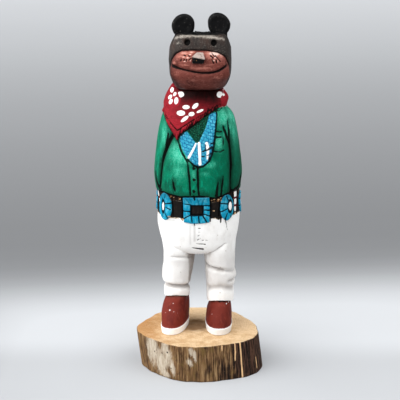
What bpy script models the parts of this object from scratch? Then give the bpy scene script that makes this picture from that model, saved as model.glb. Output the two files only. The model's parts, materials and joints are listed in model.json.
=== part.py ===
"""A carved and painted wooden bear in a scarf, shirt, belt and trousers, standing on a slice of log.

The log slice is centred on the origin with its underside at z = 0. The bear faces -Y, and +X is
to a viewer's right. The bear is carved from one block, ears and all, so it is one solid.
"""

import math

import bmesh
import bpy
import numpy as np

# Driving dimensions, in metres
LOG_WIDTH = 0.110
LOG_DEPTH = 0.0990
LOG_THICKNESS = 0.0319
LOG_LEAN = 0.0040
LOG_ARRIS = 0.0010
FIGURE_HEIGHT = 0.2704
FIGURE_X = 0.0002
FIGURE_Y = 0.0029
GLUE_GAP = 0.0003

# The bear's own measures are shares of its height: one unit is a millimetre on the real carving
UNITS_HIGH = 270.4
UNIT = FIGURE_HEIGHT / UNITS_HIGH

# How finely the solids are made, and how much closer together the columns lie at the front
RING_STEP = 1.2
FRONT_SHARE = 0.3
BODY_COLUMNS = 190
COLLAR_COLUMNS = 84
LEG_COLUMNS = 64
BEAR_TRIANGLES = 8900
LOG_COLUMNS = 72

# The block forms, in rows from the bottom up. Each row: height above the log, left and right x,
# front and back y, and how square the section is, where 2 is an ellipse.
BODY = [
    (68.6, -10.0, 8.0, -10.0, 14.0, 2.2),
    (69.4, -20.0, 18.0, -16.0, 20.0, 2.5),
    (71.5, -27.0, 25.2, -19.0, 24.0, 2.8),
    (76.0, -31.4, 29.6, -21.8, 26.4, 2.9),
    (82.0, -33.6, 31.3, -23.6, 27.8, 2.7),
    (88.0, -35.1, 32.5, -25.0, 28.6, 2.5),
    (95.0, -36.1, 33.4, -25.8, 29.2, 2.35),
    (104.0, -36.0, 33.7, -26.4, 29.2, 2.25),
    (114.0, -35.4, 33.2, -27.0, 29.2, 2.25),
    (120.0, -35.8, 33.1, -27.9, 29.8, 2.2),
    (128.0, -36.8, 33.6, -28.6, 30.5, 2.2),
    (137.0, -37.6, 34.4, -28.9, 31.0, 2.2),
    (147.0, -37.0, 33.7, -28.7, 31.2, 2.2),
    (158.0, -35.9, 32.5, -28.0, 31.0, 2.2),
    (168.0, -34.7, 31.1, -27.0, 30.2, 2.2),
    (176.0, -33.7, 30.0, -25.8, 29.2, 2.2),
    (183.0, -32.4, 28.9, -24.2, 27.6, 2.2),
    (189.0, -29.9, 26.1, -22.0, 25.6, 2.2),
    (194.0, -27.0, 21.6, -19.6, 23.2, 2.2),
    (199.0, -23.5, 20.0, -17.2, 20.8, 2.2),
    (203.0, -20.8, 18.2, -15.6, 19.2, 2.2),
    (208.2, -19.0, 17.6, -14.8, 18.6, 2.2),
    (208.8, -19.6, 19.0, -17.0, 19.4, 2.4),
    (210.4, -20.6, 20.8, -21.4, 21.5, 2.6),
    (213.2, -22.2, 22.6, -23.6, 23.5, 2.7),
    (217.2, -23.9, 24.4, -25.4, 25.0, 2.7),
    (221.0, -24.9, 25.4, -26.4, 25.8, 2.7),
    (226.0, -25.3, 25.8, -27.0, 26.2, 2.7),
    (232.0, -25.1, 25.2, -27.0, 26.4, 2.7),
    (237.0, -24.5, 24.9, -26.2, 26.4, 2.8),
    (241.5, -24.2, 24.7, -25.0, 26.2, 2.9),
    (245.0, -23.2, 23.7, -24.0, 25.6, 2.9),
    (248.4, -21.4, 22.4, -22.8, 23.0, 2.9),
    (251.0, -19.8, 21.2, -21.2, 16.5, 2.8),
    (252.4, -18.0, 19.4, -18.6, 9.5, 2.6),
    (253.2, -13.5, 14.5, -13.6, 3.5, 2.4),
    (253.4, -6.0, 6.6, -9.0, 0.0, 2.2),
]
COLLAR = [
    (187.0, -26.6, 18.6, -18.0, 22.0, 2.2),
    (190.5, -29.8, 20.6, -20.6, 26.0, 2.2),
    (195.0, -30.4, 22.6, -19.9, 25.8, 2.2),
    (199.6, -29.4, 23.9, -17.4, 24.7, 2.2),
    (205.4, -26.8, 20.6, -13.0, 23.4, 2.2),
    (209.0, -24.4, 17.6, -8.0, 22.8, 2.2),
    (212.0, -21.6, 14.5, -2.0, 22.4, 2.2),
    (213.2, -17.0, 10.0, 3.0, 18.0, 2.1),
]
LEFT_LEG = [
    (0.0, -30.4, -9.8, -25.9, 21.6, 2.4),
    (5.4, -30.9, -9.3, -26.6, 22.0, 2.4),
    (5.7, -30.3, -9.9, -25.4, 21.2, 2.4),
    (10.0, -30.9, -9.6, -23.6, 21.0, 2.4),
    (15.0, -31.4, -9.3, -21.0, 20.6, 2.4),
    (20.0, -31.0, -9.3, -17.4, 20.0, 2.3),
    (25.0, -30.0, -9.9, -13.8, 19.2, 2.3),
    (28.6, -28.9, -10.9, -10.6, 18.4, 2.3),
    (29.0, -30.9, -8.9, -12.4, 20.2, 2.3),
    (33.0, -31.0, -8.6, -13.4, 20.4, 2.3),
    (39.0, -31.4, -8.4, -14.6, 20.6, 2.4),
    (45.0, -32.6, -7.6, -16.2, 21.2, 2.4),
    (51.0, -32.4, -6.4, -16.6, 21.6, 2.4),
    (58.0, -31.5, -5.1, -17.0, 22.4, 2.4),
    (66.0, -31.3, -4.3, -18.2, 23.8, 2.4),
    (74.0, -32.2, -4.2, -19.2, 24.6, 2.5),
    (82.0, -33.2, -5.6, -18.6, 24.4, 2.5),
    (90.0, -32.4, -7.6, -15.0, 21.0, 2.3),
    (96.0, -26.0, -12.0, -9.0, 15.0, 2.2),
]
RIGHT_LEG = [
    (0.0, 5.0, 27.2, -25.9, 21.6, 2.4),
    (5.4, 4.5, 27.8, -26.6, 22.0, 2.4),
    (5.7, 5.1, 27.2, -25.4, 21.2, 2.4),
    (10.0, 5.2, 27.4, -23.6, 21.0, 2.4),
    (15.0, 5.8, 27.3, -21.0, 20.6, 2.4),
    (20.0, 7.4, 26.9, -17.4, 20.0, 2.4),
    (24.0, 9.0, 26.4, -12.4, 18.8, 2.3),
    (24.4, 6.1, 29.0, -12.6, 20.0, 2.3),
    (33.0, 5.8, 29.6, -13.6, 20.4, 2.3),
    (40.0, 5.4, 30.2, -14.8, 20.8, 2.4),
    (47.0, 4.9, 31.2, -16.0, 21.2, 2.4),
    (52.0, 4.6, 30.2, -16.4, 21.8, 2.4),
    (58.0, 4.2, 30.0, -17.4, 22.4, 2.4),
    (66.0, 3.2, 30.3, -18.2, 23.4, 2.4),
    (74.0, 3.2, 30.7, -19.2, 24.6, 2.5),
    (82.0, 5.0, 31.0, -18.6, 24.4, 2.5),
    (90.0, 7.0, 29.8, -15.0, 21.0, 2.3),
    (96.0, 11.0, 24.0, -9.0, 15.0, 2.2),
]
LEFT_CUFF, RIGHT_CUFF = 29.0, 24.4
ANKLE_DROP = 6.0

# How much a cuff's edge arches over the shoe, how wide that is, how far up and down it reaches, and
# the share of it that the sides hang lower
CUFF_ARCH = 3.6
CUFF_ARCH_WIDTH = 12.0
CUFF_ARCH_REACH = 8.0
CUFF_SAG = 0.4

# Where the thighs run smoothly into the hips, how far out that starts, and how often it is smoothed
HIP_LOW, HIP_HIGH = 66.0, 96.0
HIP_SIDE = 23.0
HIP_ROUNDS = 14
LEFT_TOE_OUT = math.radians(12)
RIGHT_TOE_OUT = math.radians(1)

# Outlines of the carving as (distance round from the front centre, height)
FACE = [
    (-27.7, 233.3), (-24.0, 236.9), (-20.7, 239.6), (-14.9, 242.3), (-5.1, 242.7), (5.3, 242.5),
    (14.4, 240.8), (19.0, 238.6), (22.5, 236.3), (27.6, 230.1), (30.2, 221.5), (27.0, 215.5),
    (21.0, 209.5), (-20.0, 209.5), (-26.5, 214.5), (-30.6, 221.0), (-30.0, 228.5),
]
MOUTH = [
    (-23.6, 230.0), (-19.3, 228.8), (-12.4, 227.1), (-5.9, 225.8), (0.0, 224.9), (6.2, 224.8),
    (11.5, 225.5), (16.9, 227.6), (21.4, 229.7),
]
EYES = [(-10.8, 248.4), (10.9, 248.0)]
EYE_RADIUS = 2.6
SCARF = [
    (-110.0, 186.0), (-60.0, 186.5), (-34.0, 188.2), (-28.7, 183.1), (-22.6, 175.7),
    (-17.2, 168.6), (-14.0, 174.0), (-6.1, 179.6), (0.1, 184.0), (6.2, 188.7), (15.0, 192.4),
    (24.6, 196.5), (29.6, 199.0), (34.0, 198.4), (44.0, 195.0), (60.0, 192.0), (110.0, 186.0),
    (110.0, 208.2), (-110.0, 208.2),
]
NECKLACE = [
    (8.4, 190.4), (15.6, 190.6), (15.0, 181.1), (13.9, 168.4), (12.6, 161.1), (10.5, 153.0),
    (6.4, 149.0), (1.5, 147.8), (-2.6, 149.1), (-8.4, 154.7), (-12.5, 161.1), (-14.9, 168.3),
    (-14.6, 173.4), (-8.8, 176.4), (-1.8, 167.1), (0.7, 167.1), (4.6, 175.6), (7.2, 182.7),
]

# Heights on the belt, and of the shirt's hem over it, are given from the belt's middle
BELT_MIDDLE = 111.3
HEM = [
    (-110.0, 12.2), (-43.7, 11.9), (-31.3, 12.7), (-15.9, 10.4), (3.5, 11.3), (13.7, 9.2),
    (28.2, 13.0), (41.6, 13.0), (110.0, 12.2),
]
BUCKLE = [(-12.9, 10.1), (9.2, 10.2), (9.0, -11.7), (2.1, -12.6), (-5.7, -12.7), (-12.4, -11.5)]
BUCKLE_HOLE = [(-6.4, 3.2), (3.5, 3.2), (3.5, -5.3), (-6.4, -5.4)]

# The belt's oval plates as (distance round from the front centre, half width, half height)
CONCHOS = [
    (-30.3, 7.4, 11.9), (24.7, 6.6, 11.4), (-57.5, 8.5, 9.5), (-82.5, 8.5, 9.5),
    (50.0, 8.5, 9.5), (75.0, 8.5, 9.5), (99.5, 7.0, 9.5),
]

# Knife grooves as (depth, half width, line)
ARM_GROOVES = [
    (1.7, 1.3, [(-21.0, 173.5), (-24.5, 167.5), (-28.0, 161.0), (-33.3, 149.0), (-36.4, 127.4)]),
    (0.9, 0.8, [(-26.0, 173.0), (-28.5, 161.3)]),
    (1.7, 1.3, [(28.0, 183.2), (29.3, 169.0), (30.1, 150.0), (29.7, 130.4), (29.2, 124.4)]),
    (0.9, 0.8, [(22.0, 179.4), (25.2, 171.4), (28.4, 165.4)]),
    (1.4, 1.3, [(-62.0, 178.0), (-66.0, 160.0), (-66.0, 128.0)]),
    (1.4, 1.3, [(60.0, 178.0), (64.0, 160.0), (64.0, 128.0)]),
]
SHIRT_GROOVES = [
    (0.6, 0.7, [(-21.4, 135.5), (-19.4, 126.3)]),
    (0.6, 0.7, [(17.2, 135.9), (14.5, 122.4)]),
    (0.6, 0.7, [(20.9, 139.0), (19.2, 122.8)]),
    (0.6, 0.7, [(43.7, 135.3), (40.6, 128.1), (34.8, 124.9)]),
    (0.6, 0.6, [(-8.1, 150.6), (-6.6, 123.6)]),
    (0.6, 0.6, [(-0.6, 148.2), (0.4, 123.7)]),
    (0.5, 0.6, [(13.1, 177.2), (13.0, 160.3), (21.4, 159.6), (21.1, 176.7)]),
    (0.5, 0.6, [(13.1, 173.5), (21.1, 173.5)]),
]
LEFT_FOLDS = [
    (1.3, 1.1, [(-13.2, 66.6), (-1.4, 66.6), (5.6, 66.2), (14.0, 65.6)]),
    (
        3.0,
        2.0,
        [(-40.0, 38.4), (-18.0, 38.6), (-7.6, 39.6), (3.4, 39.3), (14.0, 38.1), (24.4, 36.2), (40.0, 37.0)],
    ),
]
RIGHT_FOLDS = [
    (
        1.5,
        1.6,
        [(-24.0, 58.2), (-18.4, 57.2), (-11.0, 56.2), (-3.9, 55.6), (3.5, 54.2), (14.0, 51.6), (30.0, 50.6)],
    ),
    (1.5, 1.5, [(-24.0, 58.2), (-18.4, 57.2), (-11.0, 56.2), (-3.9, 55.6), (2.0, 54.6)]),
    (1.6, 1.2, [(7.5, 44.0), (14.0, 43.6), (30.0, 43.2)]),
    (1.7, 2.8, [(-17.0, 35.6), (-8.5, 37.6), (0.0, 39.0), (8.0, 37.2), (14.0, 35.6), (36.0, 36.6)]),
]

CROTCH_GROOVES = [
    (0.8, 1.1, [(-23.4, 75.3), (-18.7, 73.3), (-15.2, 70.8), (-11.0, 69.6)]),
    (0.9, 1.1, [(22.6, 78.0), (17.9, 75.0), (14.3, 71.6), (9.9, 69.8)]),
]

# Measures of the relief. CUT is how softly a carved step rises, from outside its line to inside it
CUT = (-0.3, 0.6)
JAW_HEIGHT = 208.4
CHIN_RISE = (211.0, 223.0)
FACE_BULGE = 3.2
FACE_BULGE_EDGE = 7.0
HOOD_LIP = 0.8
HOOD_LIP_RISE = (226.0, 234.0)
MOUTH_DEPTH = 1.3
MOUTH_HALF_WIDTH = 1.1
EYE_DEPTH = 3.0
SCARF_THICKNESS = 1.7
NECKLACE_THICKNESS = 0.8
SHIRT_OVER_BELT = 0.9
SHIRT_TURN = 6.0
SILVER_THICKNESS = 1.5

# The sleeves as (distance round where they start and are full), the same at the back, and below
# the shoulder
ARM_FULLNESS = 1.0
ARM_FRONT = (29.0, 44.0)
ARM_BACK = (66.0, 55.0)
SHOULDER = (185.0, 165.0)

# The log's outline as (degrees round from the front, radius), brought to its width and depth,
# its ripples as (share of the radius, count, start) and its wider foot as (degrees, half width, share)
LOG_OUTLINE = [
    (2, 48.0), (22, 48.2), (34, 49.5), (43, 51.7), (52, 54.3), (60, 55.3), (70, 55.0), (80, 53.9),
    (96, 52.2), (108, 50.1), (122, 49.5), (136, 50.4), (165, 50.1), (178, 50.6), (207, 50.9),
    (225, 50.8), (239, 48.9), (253, 50.6), (275, 53.3), (281, 53.3), (290, 51.3), (299, 49.6),
    (308, 48.2), (325, 48.2), (342, 49.0), (350, 48.5),
]
LOG_RIPPLES = [(0.006, 11, 0.4), (0.004, 23, 2.1)]
LOG_FLARE = (313, 24, 0.025)

# The wedge nose as corners (x, y, height), seen from the front: top, lip and underside
NOSE = [
    (-2.4, -26.0, 241.2), (2.6, -26.0, 240.9),
    (-6.5, -34.4, 238.6), (4.3, -34.4, 236.6),
    (-6.4, -31.8, 232.5), (2.8, -31.8, 232.2),
    (-6.4, -24.0, 232.5), (2.8, -24.0, 232.2),
]
NOSE_FACES = [(0, 2, 3, 1), (2, 4, 5, 3), (4, 6, 7, 5), (0, 1, 7, 6), (0, 6, 4, 2), (1, 3, 5, 7)]
NOSE_BEVEL = 0.7

# The ears as (x, height of the disc's centre, its radius, half width of the foot, lean of the tip)
EARS = [(-13.8, 259.9, 9.4, 7.6, 0.9), (15.7, 261.0, 9.2, 6.8, -1.6)]
EAR_FOOT_HEIGHT = 247.0
EAR_BACK, EAR_FRONT = 1.5, -5.5
EAR_EDGE_ROUND = 2.2
EAR_ARC = math.radians(140)
EAR_LOWER_FULLNESS = 0.72
EAR_POINTS = 40
EAR_LAYERS = 9


def smooth_curve(knots, values, at):
    """Values on a smooth curve through the knots that never overshoots them."""
    knots = np.asarray(knots, float)
    values = np.asarray(values, float)
    step = np.diff(knots)
    slope = np.diff(values) / step
    tangent = np.zeros(len(knots))
    tangent[0], tangent[-1] = slope[0], slope[-1]
    for k in range(1, len(knots) - 1):
        if slope[k - 1] * slope[k] > 0:
            before = 2 * step[k] + step[k - 1]
            after = step[k] + 2 * step[k - 1]
            tangent[k] = (before + after) / (before / slope[k - 1] + after / slope[k])
    k = np.clip(np.searchsorted(knots, at, side="right") - 1, 0, len(step) - 1)
    t = (at - knots[k]) / step[k]
    start = (1 + 2 * t) * (1 - t) ** 2 * values[k] + t * (1 - t) ** 2 * step[k] * tangent[k]
    end = t * t * (3 - 2 * t) * values[k + 1] + t * t * (t - 1) * step[k] * tangent[k + 1]
    return start + end


def ramp(value, low, high):
    """0 at low and 1 at high, smooth between them and level beyond. Low may be the greater."""
    t = np.clip((value - low) / (high - low), 0, 1)
    return t * t * (3 - 2 * t)


def bell(distance, half_width):
    """1 at no distance, falling off smoothly to either side."""
    return np.exp(-((distance / half_width) ** 2))


def line_distance(across, height, line):
    """Distance of each point from a line with corners."""
    nearest = np.full(across.shape, np.inf)
    for (a0, h0), (a1, h1) in zip(line[:-1], line[1:]):
        run, rise = a1 - a0, h1 - h0
        t = np.clip(((across - a0) * run + (height - h0) * rise) / (run * run + rise * rise), 0, 1)
        nearest = np.minimum(nearest, np.hypot(across - a0 - t * run, height - h0 - t * rise))
    return nearest


def inside_distance(across, height, outline):
    """How deep each point lies inside a closed outline, negative outside it."""
    inside = np.zeros(across.shape, bool)
    for (a0, h0), (a1, h1) in zip(outline, outline[1:] + outline[:1]):
        if h0 != h1:
            crossing = a0 + (height - h0) / (h1 - h0) * (a1 - a0)
            inside ^= ((h0 > height) != (h1 > height)) & (across < crossing)
    distance = line_distance(across, height, outline + outline[:1])
    return np.where(inside, distance, -distance)


def oval_inside(across, height, centre, half_width, half_height):
    """Roughly how deep each point lies inside an upright oval, negative outside it."""
    share = np.hypot((across - centre[0]) / half_width, (height - centre[1]) / half_height)
    return (1 - share) * min(half_width, half_height)


def height_over(across, height, line):
    """How far each point lies above a line that runs from left to right."""
    corners = np.array(line)
    return height - np.interp(across, corners[:, 0], corners[:, 1])


def grooves(across, height, lines):
    return sum(-depth * bell(line_distance(across, height, line), width) for depth, width, line in lines)


def head_relief(across, height):
    """Muzzle swelling out under the hood's edge, mouth and drilled eyes."""
    depth = inside_distance(across, height, FACE)
    lift = FACE_BULGE * ramp(depth, 0, FACE_BULGE_EDGE) * ramp(height, *CHIN_RISE)
    lift = lift + HOOD_LIP * ramp(-depth, *CUT) * ramp(height, *HOOD_LIP_RISE)
    lift = lift - MOUTH_DEPTH * bell(line_distance(across, height, MOUTH), MOUTH_HALF_WIDTH)
    for a, h in EYES:
        lift = lift - EYE_DEPTH * ramp(EYE_RADIUS - np.hypot(across - a, height - h), *CUT)
    return lift * ramp(height - JAW_HEIGHT, *CUT)


def scarf_relief(across, height):
    return SCARF_THICKNESS * ramp(inside_distance(across, height, SCARF), *CUT)


def shirt_relief(across, height):
    """Sleeves set off by knife grooves, the placket, the pocket and the hem over the belt."""
    over_hem = height_over(across, height - BELT_MIDDLE, HEM)
    covered = ramp(over_hem, *CUT) * ramp(JAW_HEIGHT - height, *CUT)
    round_it = np.abs(across)
    arm = ramp(round_it, *ARM_FRONT) * ramp(round_it, *ARM_BACK) * ramp(height, *SHOULDER)
    lift = SHIRT_OVER_BELT * bell(over_hem, SHIRT_TURN) * (1 - arm) + ARM_FULLNESS * arm
    lift = lift + grooves(across, height, ARM_GROOVES) + grooves(across, height, SHIRT_GROOVES)
    return lift * covered


def necklace_relief(across, height):
    return NECKLACE_THICKNESS * ramp(inside_distance(across, height, NECKLACE), *CUT)


def belt_relief(across, height):
    """The buckle's frame and the oval plates round the belt."""
    level = height - BELT_MIDDLE
    frame = np.minimum(
        inside_distance(across, level, BUCKLE), -inside_distance(across, level, BUCKLE_HOLE)
    )
    for a, half_width, half_height in CONCHOS:
        frame = np.maximum(frame, oval_inside(across, level, (a, 0.0), half_width, half_height))
    return SILVER_THICKNESS * ramp(frame, *CUT)


def body_relief(across, height):
    """All the carving on the block: the scarf covers the shirt and the necklace under it."""
    scarf = scarf_relief(across, height)
    under = shirt_relief(across, height) + necklace_relief(across, height)
    covered = scarf / SCARF_THICKNESS
    below = belt_relief(across, height) + grooves(across, height, CROTCH_GROOVES)
    return under * (1 - covered) + scarf + below + head_relief(across, height)


def loft_grid(rows, columns):
    """Rings of points through the rows: x, y, height, and distance round from the front."""
    even = np.linspace(-math.pi, math.pi, columns + 1)[:-1]
    angles = even - FRONT_SHARE * np.sin(even)
    rows = np.array(rows, float)
    size = (rows[:, 2] - rows[:, 1] + rows[:, 4] - rows[:, 3]) / 4
    path = np.concatenate([[0], np.cumsum(np.hypot(np.diff(rows[:, 0]), np.diff(size)))])
    at = np.linspace(0, path[-1], int(round(path[-1] / RING_STEP)) + 1)
    height, left, right, front, back, square = (
        smooth_curve(path, rows[:, k], at)[:, None] for k in range(6)
    )
    side, ahead = np.sin(angles)[None, :], np.cos(angles)[None, :]
    reach = (np.abs(side) ** square + np.abs(ahead) ** square) ** (-1 / square)
    x = (left + right) / 2 + (right - left) / 2 * side * reach
    y = (front + back) / 2 - (back - front) / 2 * ahead * reach
    height = np.broadcast_to(height, x.shape).copy()
    stride = np.hypot(np.diff(x, axis=1), np.diff(y, axis=1))
    round_it = np.concatenate([np.zeros((len(at), 1)), np.cumsum(stride, axis=1)], axis=1)
    front_column = int(np.argmin(np.abs(angles)))
    return x, y, height, round_it - round_it[:, front_column : front_column + 1]


def raised(x, y, height, lift):
    """The grid's points moved out along its surface by lift."""
    points = np.stack([x, y, height], axis=2)
    along = np.roll(points, -1, axis=1) - np.roll(points, 1, axis=1)
    up = np.gradient(points, axis=0)
    normal = np.cross(along, up)
    normal /= np.maximum(np.linalg.norm(normal, axis=2, keepdims=True), 1e-9)
    return points + normal * lift[:, :, None]


def grid_mesh(name, points):
    """A closed mesh over rings of points, with a flat face at each end."""
    rings, columns = points.shape[:2]
    faces = [tuple(reversed(range(columns)))]
    for ring in range(rings - 1):
        low, high = ring * columns, (ring + 1) * columns
        for column in range(columns):
            after = (column + 1) % columns
            faces.append((low + column, low + after, high + after, high + column))
    faces.append(tuple(range((rings - 1) * columns, rings * columns)))
    mesh = bpy.data.meshes.new(name)
    mesh.from_pydata([tuple(p) for p in points.reshape(-1, 3)], [], faces)
    mesh.update()
    return mesh


def in_place(points):
    """From the bear's own units to metres, standing on the log."""
    return points * UNIT + np.array([FIGURE_X, FIGURE_Y, LOG_THICKNESS + GLUE_GAP])


def add_object(name, mesh):
    obj = bpy.data.objects.new(name, mesh)
    bpy.context.scene.collection.objects.link(obj)
    return obj


def body_block():
    x, y, height, across = loft_grid(BODY, BODY_COLUMNS)
    points = raised(x, y, height, body_relief(across, height))
    return add_object("body_block", grid_mesh("body_block", in_place(points)))


def collar_block():
    x, y, height, _ = loft_grid(COLLAR, COLLAR_COLUMNS)
    points = np.stack([x, y, height], axis=2)
    return add_object("collar_block", grid_mesh("collar_block", in_place(points)))


def cuff_arch(across, above_cuff):
    """How much the points near a cuff are raised or lowered, as it arches over the shoe."""
    return CUFF_ARCH * (bell(across, CUFF_ARCH_WIDTH) - CUFF_SAG) * bell(above_cuff, CUFF_ARCH_REACH)


def leg_block(name, rows, folds, cuff, toe_out):
    """A leg with its folds and its shoe, the shoe turned out at the ankle."""
    x, y, height, across = loft_grid(rows, LEG_COLUMNS)
    on_trousers = ramp(height - cuff, *CUT)
    height = height + cuff_arch(across, height - cuff)
    points = raised(x, y, height, grooves(across, height, folds) * on_trousers)
    _, left, right, front, back, _ = next(row for row in rows if row[0] >= cuff)
    ankle_x, ankle_y = (left + right) / 2, (front + back) / 2
    turn = toe_out * ramp(points[:, :, 2], cuff, cuff - ANKLE_DROP)
    dx, dy = points[:, :, 0] - ankle_x, points[:, :, 1] - ankle_y
    points[:, :, 0] = ankle_x + dx * np.cos(turn) + dy * np.sin(turn)
    points[:, :, 1] = ankle_y - dx * np.sin(turn) + dy * np.cos(turn)
    return add_object(name, grid_mesh(name, in_place(points)))


def ear_block(name, x, middle, radius, foot, lean):
    """A round paddle with softened edges, standing on the head."""
    turn = np.linspace(-EAR_ARC, EAR_ARC, EAR_POINTS)
    rise = np.cos(turn)
    width = np.sin(turn)
    width = np.where(rise < 0, np.sign(width) * np.abs(width) ** EAR_LOWER_FULLNESS, width)
    side = x + radius * width + lean * np.clip(rise, 0, 1)
    disc = np.stack([side, middle + radius * rise], axis=1)
    outline = np.vstack([(x - foot, EAR_FOOT_HEIGHT), disc, (x + foot, EAR_FOOT_HEIGHT)])
    centre = np.array([x, middle])
    layers = []
    for share in np.linspace(-1, 1, EAR_LAYERS):
        inset = EAR_EDGE_ROUND * (1 - math.sqrt(1 - share * share)) / radius
        ring = centre + (outline - centre) * (1 - inset)
        y = (EAR_BACK + EAR_FRONT) / 2 + share * (EAR_FRONT - EAR_BACK) / 2
        layers.append(np.stack([ring[:, 0], np.full(len(ring), y), ring[:, 1]], axis=1))
    return add_object(name, grid_mesh(name, in_place(np.array(layers)[:, ::-1])))


def nose_block():
    mesh = bpy.data.meshes.new("nose_block")
    mesh.from_pydata([tuple(p) for p in in_place(np.array(NOSE))], [], NOSE_FACES)
    nose = add_object("nose_block", mesh)
    bevel = nose.modifiers.new("softened_edges", "BEVEL")
    bevel.width = NOSE_BEVEL * UNIT
    bevel.segments = 1
    return nose


def joined(name, blocks):
    """The blocks united into one closed carving, as a new object."""
    for block in blocks[1:]:
        union = blocks[0].modifiers.new("join_" + block.name, "BOOLEAN")
        union.operation = "UNION"
        union.object = block
    bpy.context.view_layer.update()
    graph = bpy.context.evaluated_depsgraph_get()
    mesh = bpy.data.meshes.new_from_object(blocks[0].evaluated_get(graph))
    for block in blocks:
        bpy.data.objects.remove(block)
    return add_object(name, mesh)


def soften_hips(mesh):
    """Runs the thighs smoothly into the hips at the sides, where no fold is cut."""
    form = bmesh.new()
    form.from_mesh(mesh)
    low, high = (LOG_THICKNESS + height * UNIT for height in (HIP_LOW, HIP_HIGH))
    side = HIP_SIDE * UNIT
    hips = [v for v in form.verts if low < v.co.z < high and abs(v.co.x - FIGURE_X) > side]
    axes = {"use_axis_x": True, "use_axis_y": True, "use_axis_z": True}
    for _ in range(HIP_ROUNDS):
        bmesh.ops.smooth_vert(form, verts=hips, factor=0.5, **axes)
    form.to_mesh(mesh)
    form.free()


def thin_out(obj, triangles):
    """Keeps the carving and drops triangles where the surface is plain."""
    obj.data.calc_loop_triangles()
    decimate = obj.modifiers.new("fewer_triangles", "DECIMATE")
    decimate.ratio = min(1.0, triangles / len(obj.data.loop_triangles))
    decimate.use_collapse_triangulate = True


def principled(name, colour, roughness):
    material = bpy.data.materials.new(name)
    material.use_nodes = True
    shader = material.node_tree.nodes["Principled BSDF"]
    shader.inputs["Base Color"].default_value = (*colour, 1)
    shader.inputs["Roughness"].default_value = roughness
    return material


def make_bear():
    blocks = [
        body_block(),
        collar_block(),
        leg_block("left_leg_block", LEFT_LEG, LEFT_FOLDS, LEFT_CUFF, LEFT_TOE_OUT),
        leg_block("right_leg_block", RIGHT_LEG, RIGHT_FOLDS, RIGHT_CUFF, -RIGHT_TOE_OUT),
        nose_block(),
    ]
    blocks += [ear_block(f"ear_block_{k}", *ear) for k, ear in enumerate(EARS)]
    bear = joined("bear_figure", blocks)
    soften_hips(bear.data)
    thin_out(bear, BEAR_TRIANGLES)
    bear.data.materials.append(principled("painted_wood", (0.10, 0.32, 0.22), 0.6))


def spread(values, extent):
    """The values moved and scaled to run from -extent / 2 to extent / 2."""
    low, high = values.min(), values.max()
    return (values - (low + high) / 2) * extent / (high - low)


def make_log():
    """A slice of log with softened edges, its top a little to one side of its foot."""
    degrees = np.linspace(0, 360, LOG_COLUMNS + 1)[:-1]
    knots = np.array([(a + wrap, r) for wrap in (-360, 0, 360) for a, r in LOG_OUTLINE], float)
    radius = smooth_curve(knots[:, 0], knots[:, 1], degrees)
    turn = np.radians(degrees)
    for share, waves, start in LOG_RIPPLES:
        radius *= 1 + share * np.sin(waves * turn + start)
    x = spread(radius * np.sin(turn), LOG_WIDTH - LOG_LEAN)
    y = spread(-radius * np.cos(turn), LOG_DEPTH)
    edge = 1 - 2 * LOG_ARRIS / LOG_WIDTH
    levels = [(0, edge), (LOG_ARRIS, 1), (LOG_THICKNESS / 3, 1)]
    levels += [(LOG_THICKNESS - height, keep) for height, keep in reversed(levels)]
    flare_middle, flare_half_width, flare = LOG_FLARE
    rings = []
    for height, keep in levels:
        share = np.clip((height - LOG_ARRIS) / (LOG_THICKNESS - 2 * LOG_ARRIS), 0, 1)
        shift = LOG_LEAN * (0.5 - share)
        grown = keep * (1 + flare * (1 - share) * bell(degrees - flare_middle, flare_half_width))
        rings.append(np.stack([x * grown + shift, y * grown, np.full(LOG_COLUMNS, height)], axis=1))
    log = add_object("log_slice", grid_mesh("log_slice", np.array(rings)))
    log.data.materials.append(principled("weathered_wood", (0.42, 0.29, 0.16), 0.85))


def main():
    for old in list(bpy.data.objects):
        bpy.data.objects.remove(old)
    make_bear()
    make_log()


main()
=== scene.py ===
"""The looks of a carved and painted bear on a slice of log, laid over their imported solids.

The bear is lofted once more from the rows and lines of its solid, at a closer step, with the finer
knife work added. Each painted area is kept on it as the distance to that area's edge, above 0
inside, and the paint is mixed from those. The log slice gets its bark and its sawn top the same way.
"""

import json
import math

import bmesh
import bpy
import numpy as np
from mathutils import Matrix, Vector, noise

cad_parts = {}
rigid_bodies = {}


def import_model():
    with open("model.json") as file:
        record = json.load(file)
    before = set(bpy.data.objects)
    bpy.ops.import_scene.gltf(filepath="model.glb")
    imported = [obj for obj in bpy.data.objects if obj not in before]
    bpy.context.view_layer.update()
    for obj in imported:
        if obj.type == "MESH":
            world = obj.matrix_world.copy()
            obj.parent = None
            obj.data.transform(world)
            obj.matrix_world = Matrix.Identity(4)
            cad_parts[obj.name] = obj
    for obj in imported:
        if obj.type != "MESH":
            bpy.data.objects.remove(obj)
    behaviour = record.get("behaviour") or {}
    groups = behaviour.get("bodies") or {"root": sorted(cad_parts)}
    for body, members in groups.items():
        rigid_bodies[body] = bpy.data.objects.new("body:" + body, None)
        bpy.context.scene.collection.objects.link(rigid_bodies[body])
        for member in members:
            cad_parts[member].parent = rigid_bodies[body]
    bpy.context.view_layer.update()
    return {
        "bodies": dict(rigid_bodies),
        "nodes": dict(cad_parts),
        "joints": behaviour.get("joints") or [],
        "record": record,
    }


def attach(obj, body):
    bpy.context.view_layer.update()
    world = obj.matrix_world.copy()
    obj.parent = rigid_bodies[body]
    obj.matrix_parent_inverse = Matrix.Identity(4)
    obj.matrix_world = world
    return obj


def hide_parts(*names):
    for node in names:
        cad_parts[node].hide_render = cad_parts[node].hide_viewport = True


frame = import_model()

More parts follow.
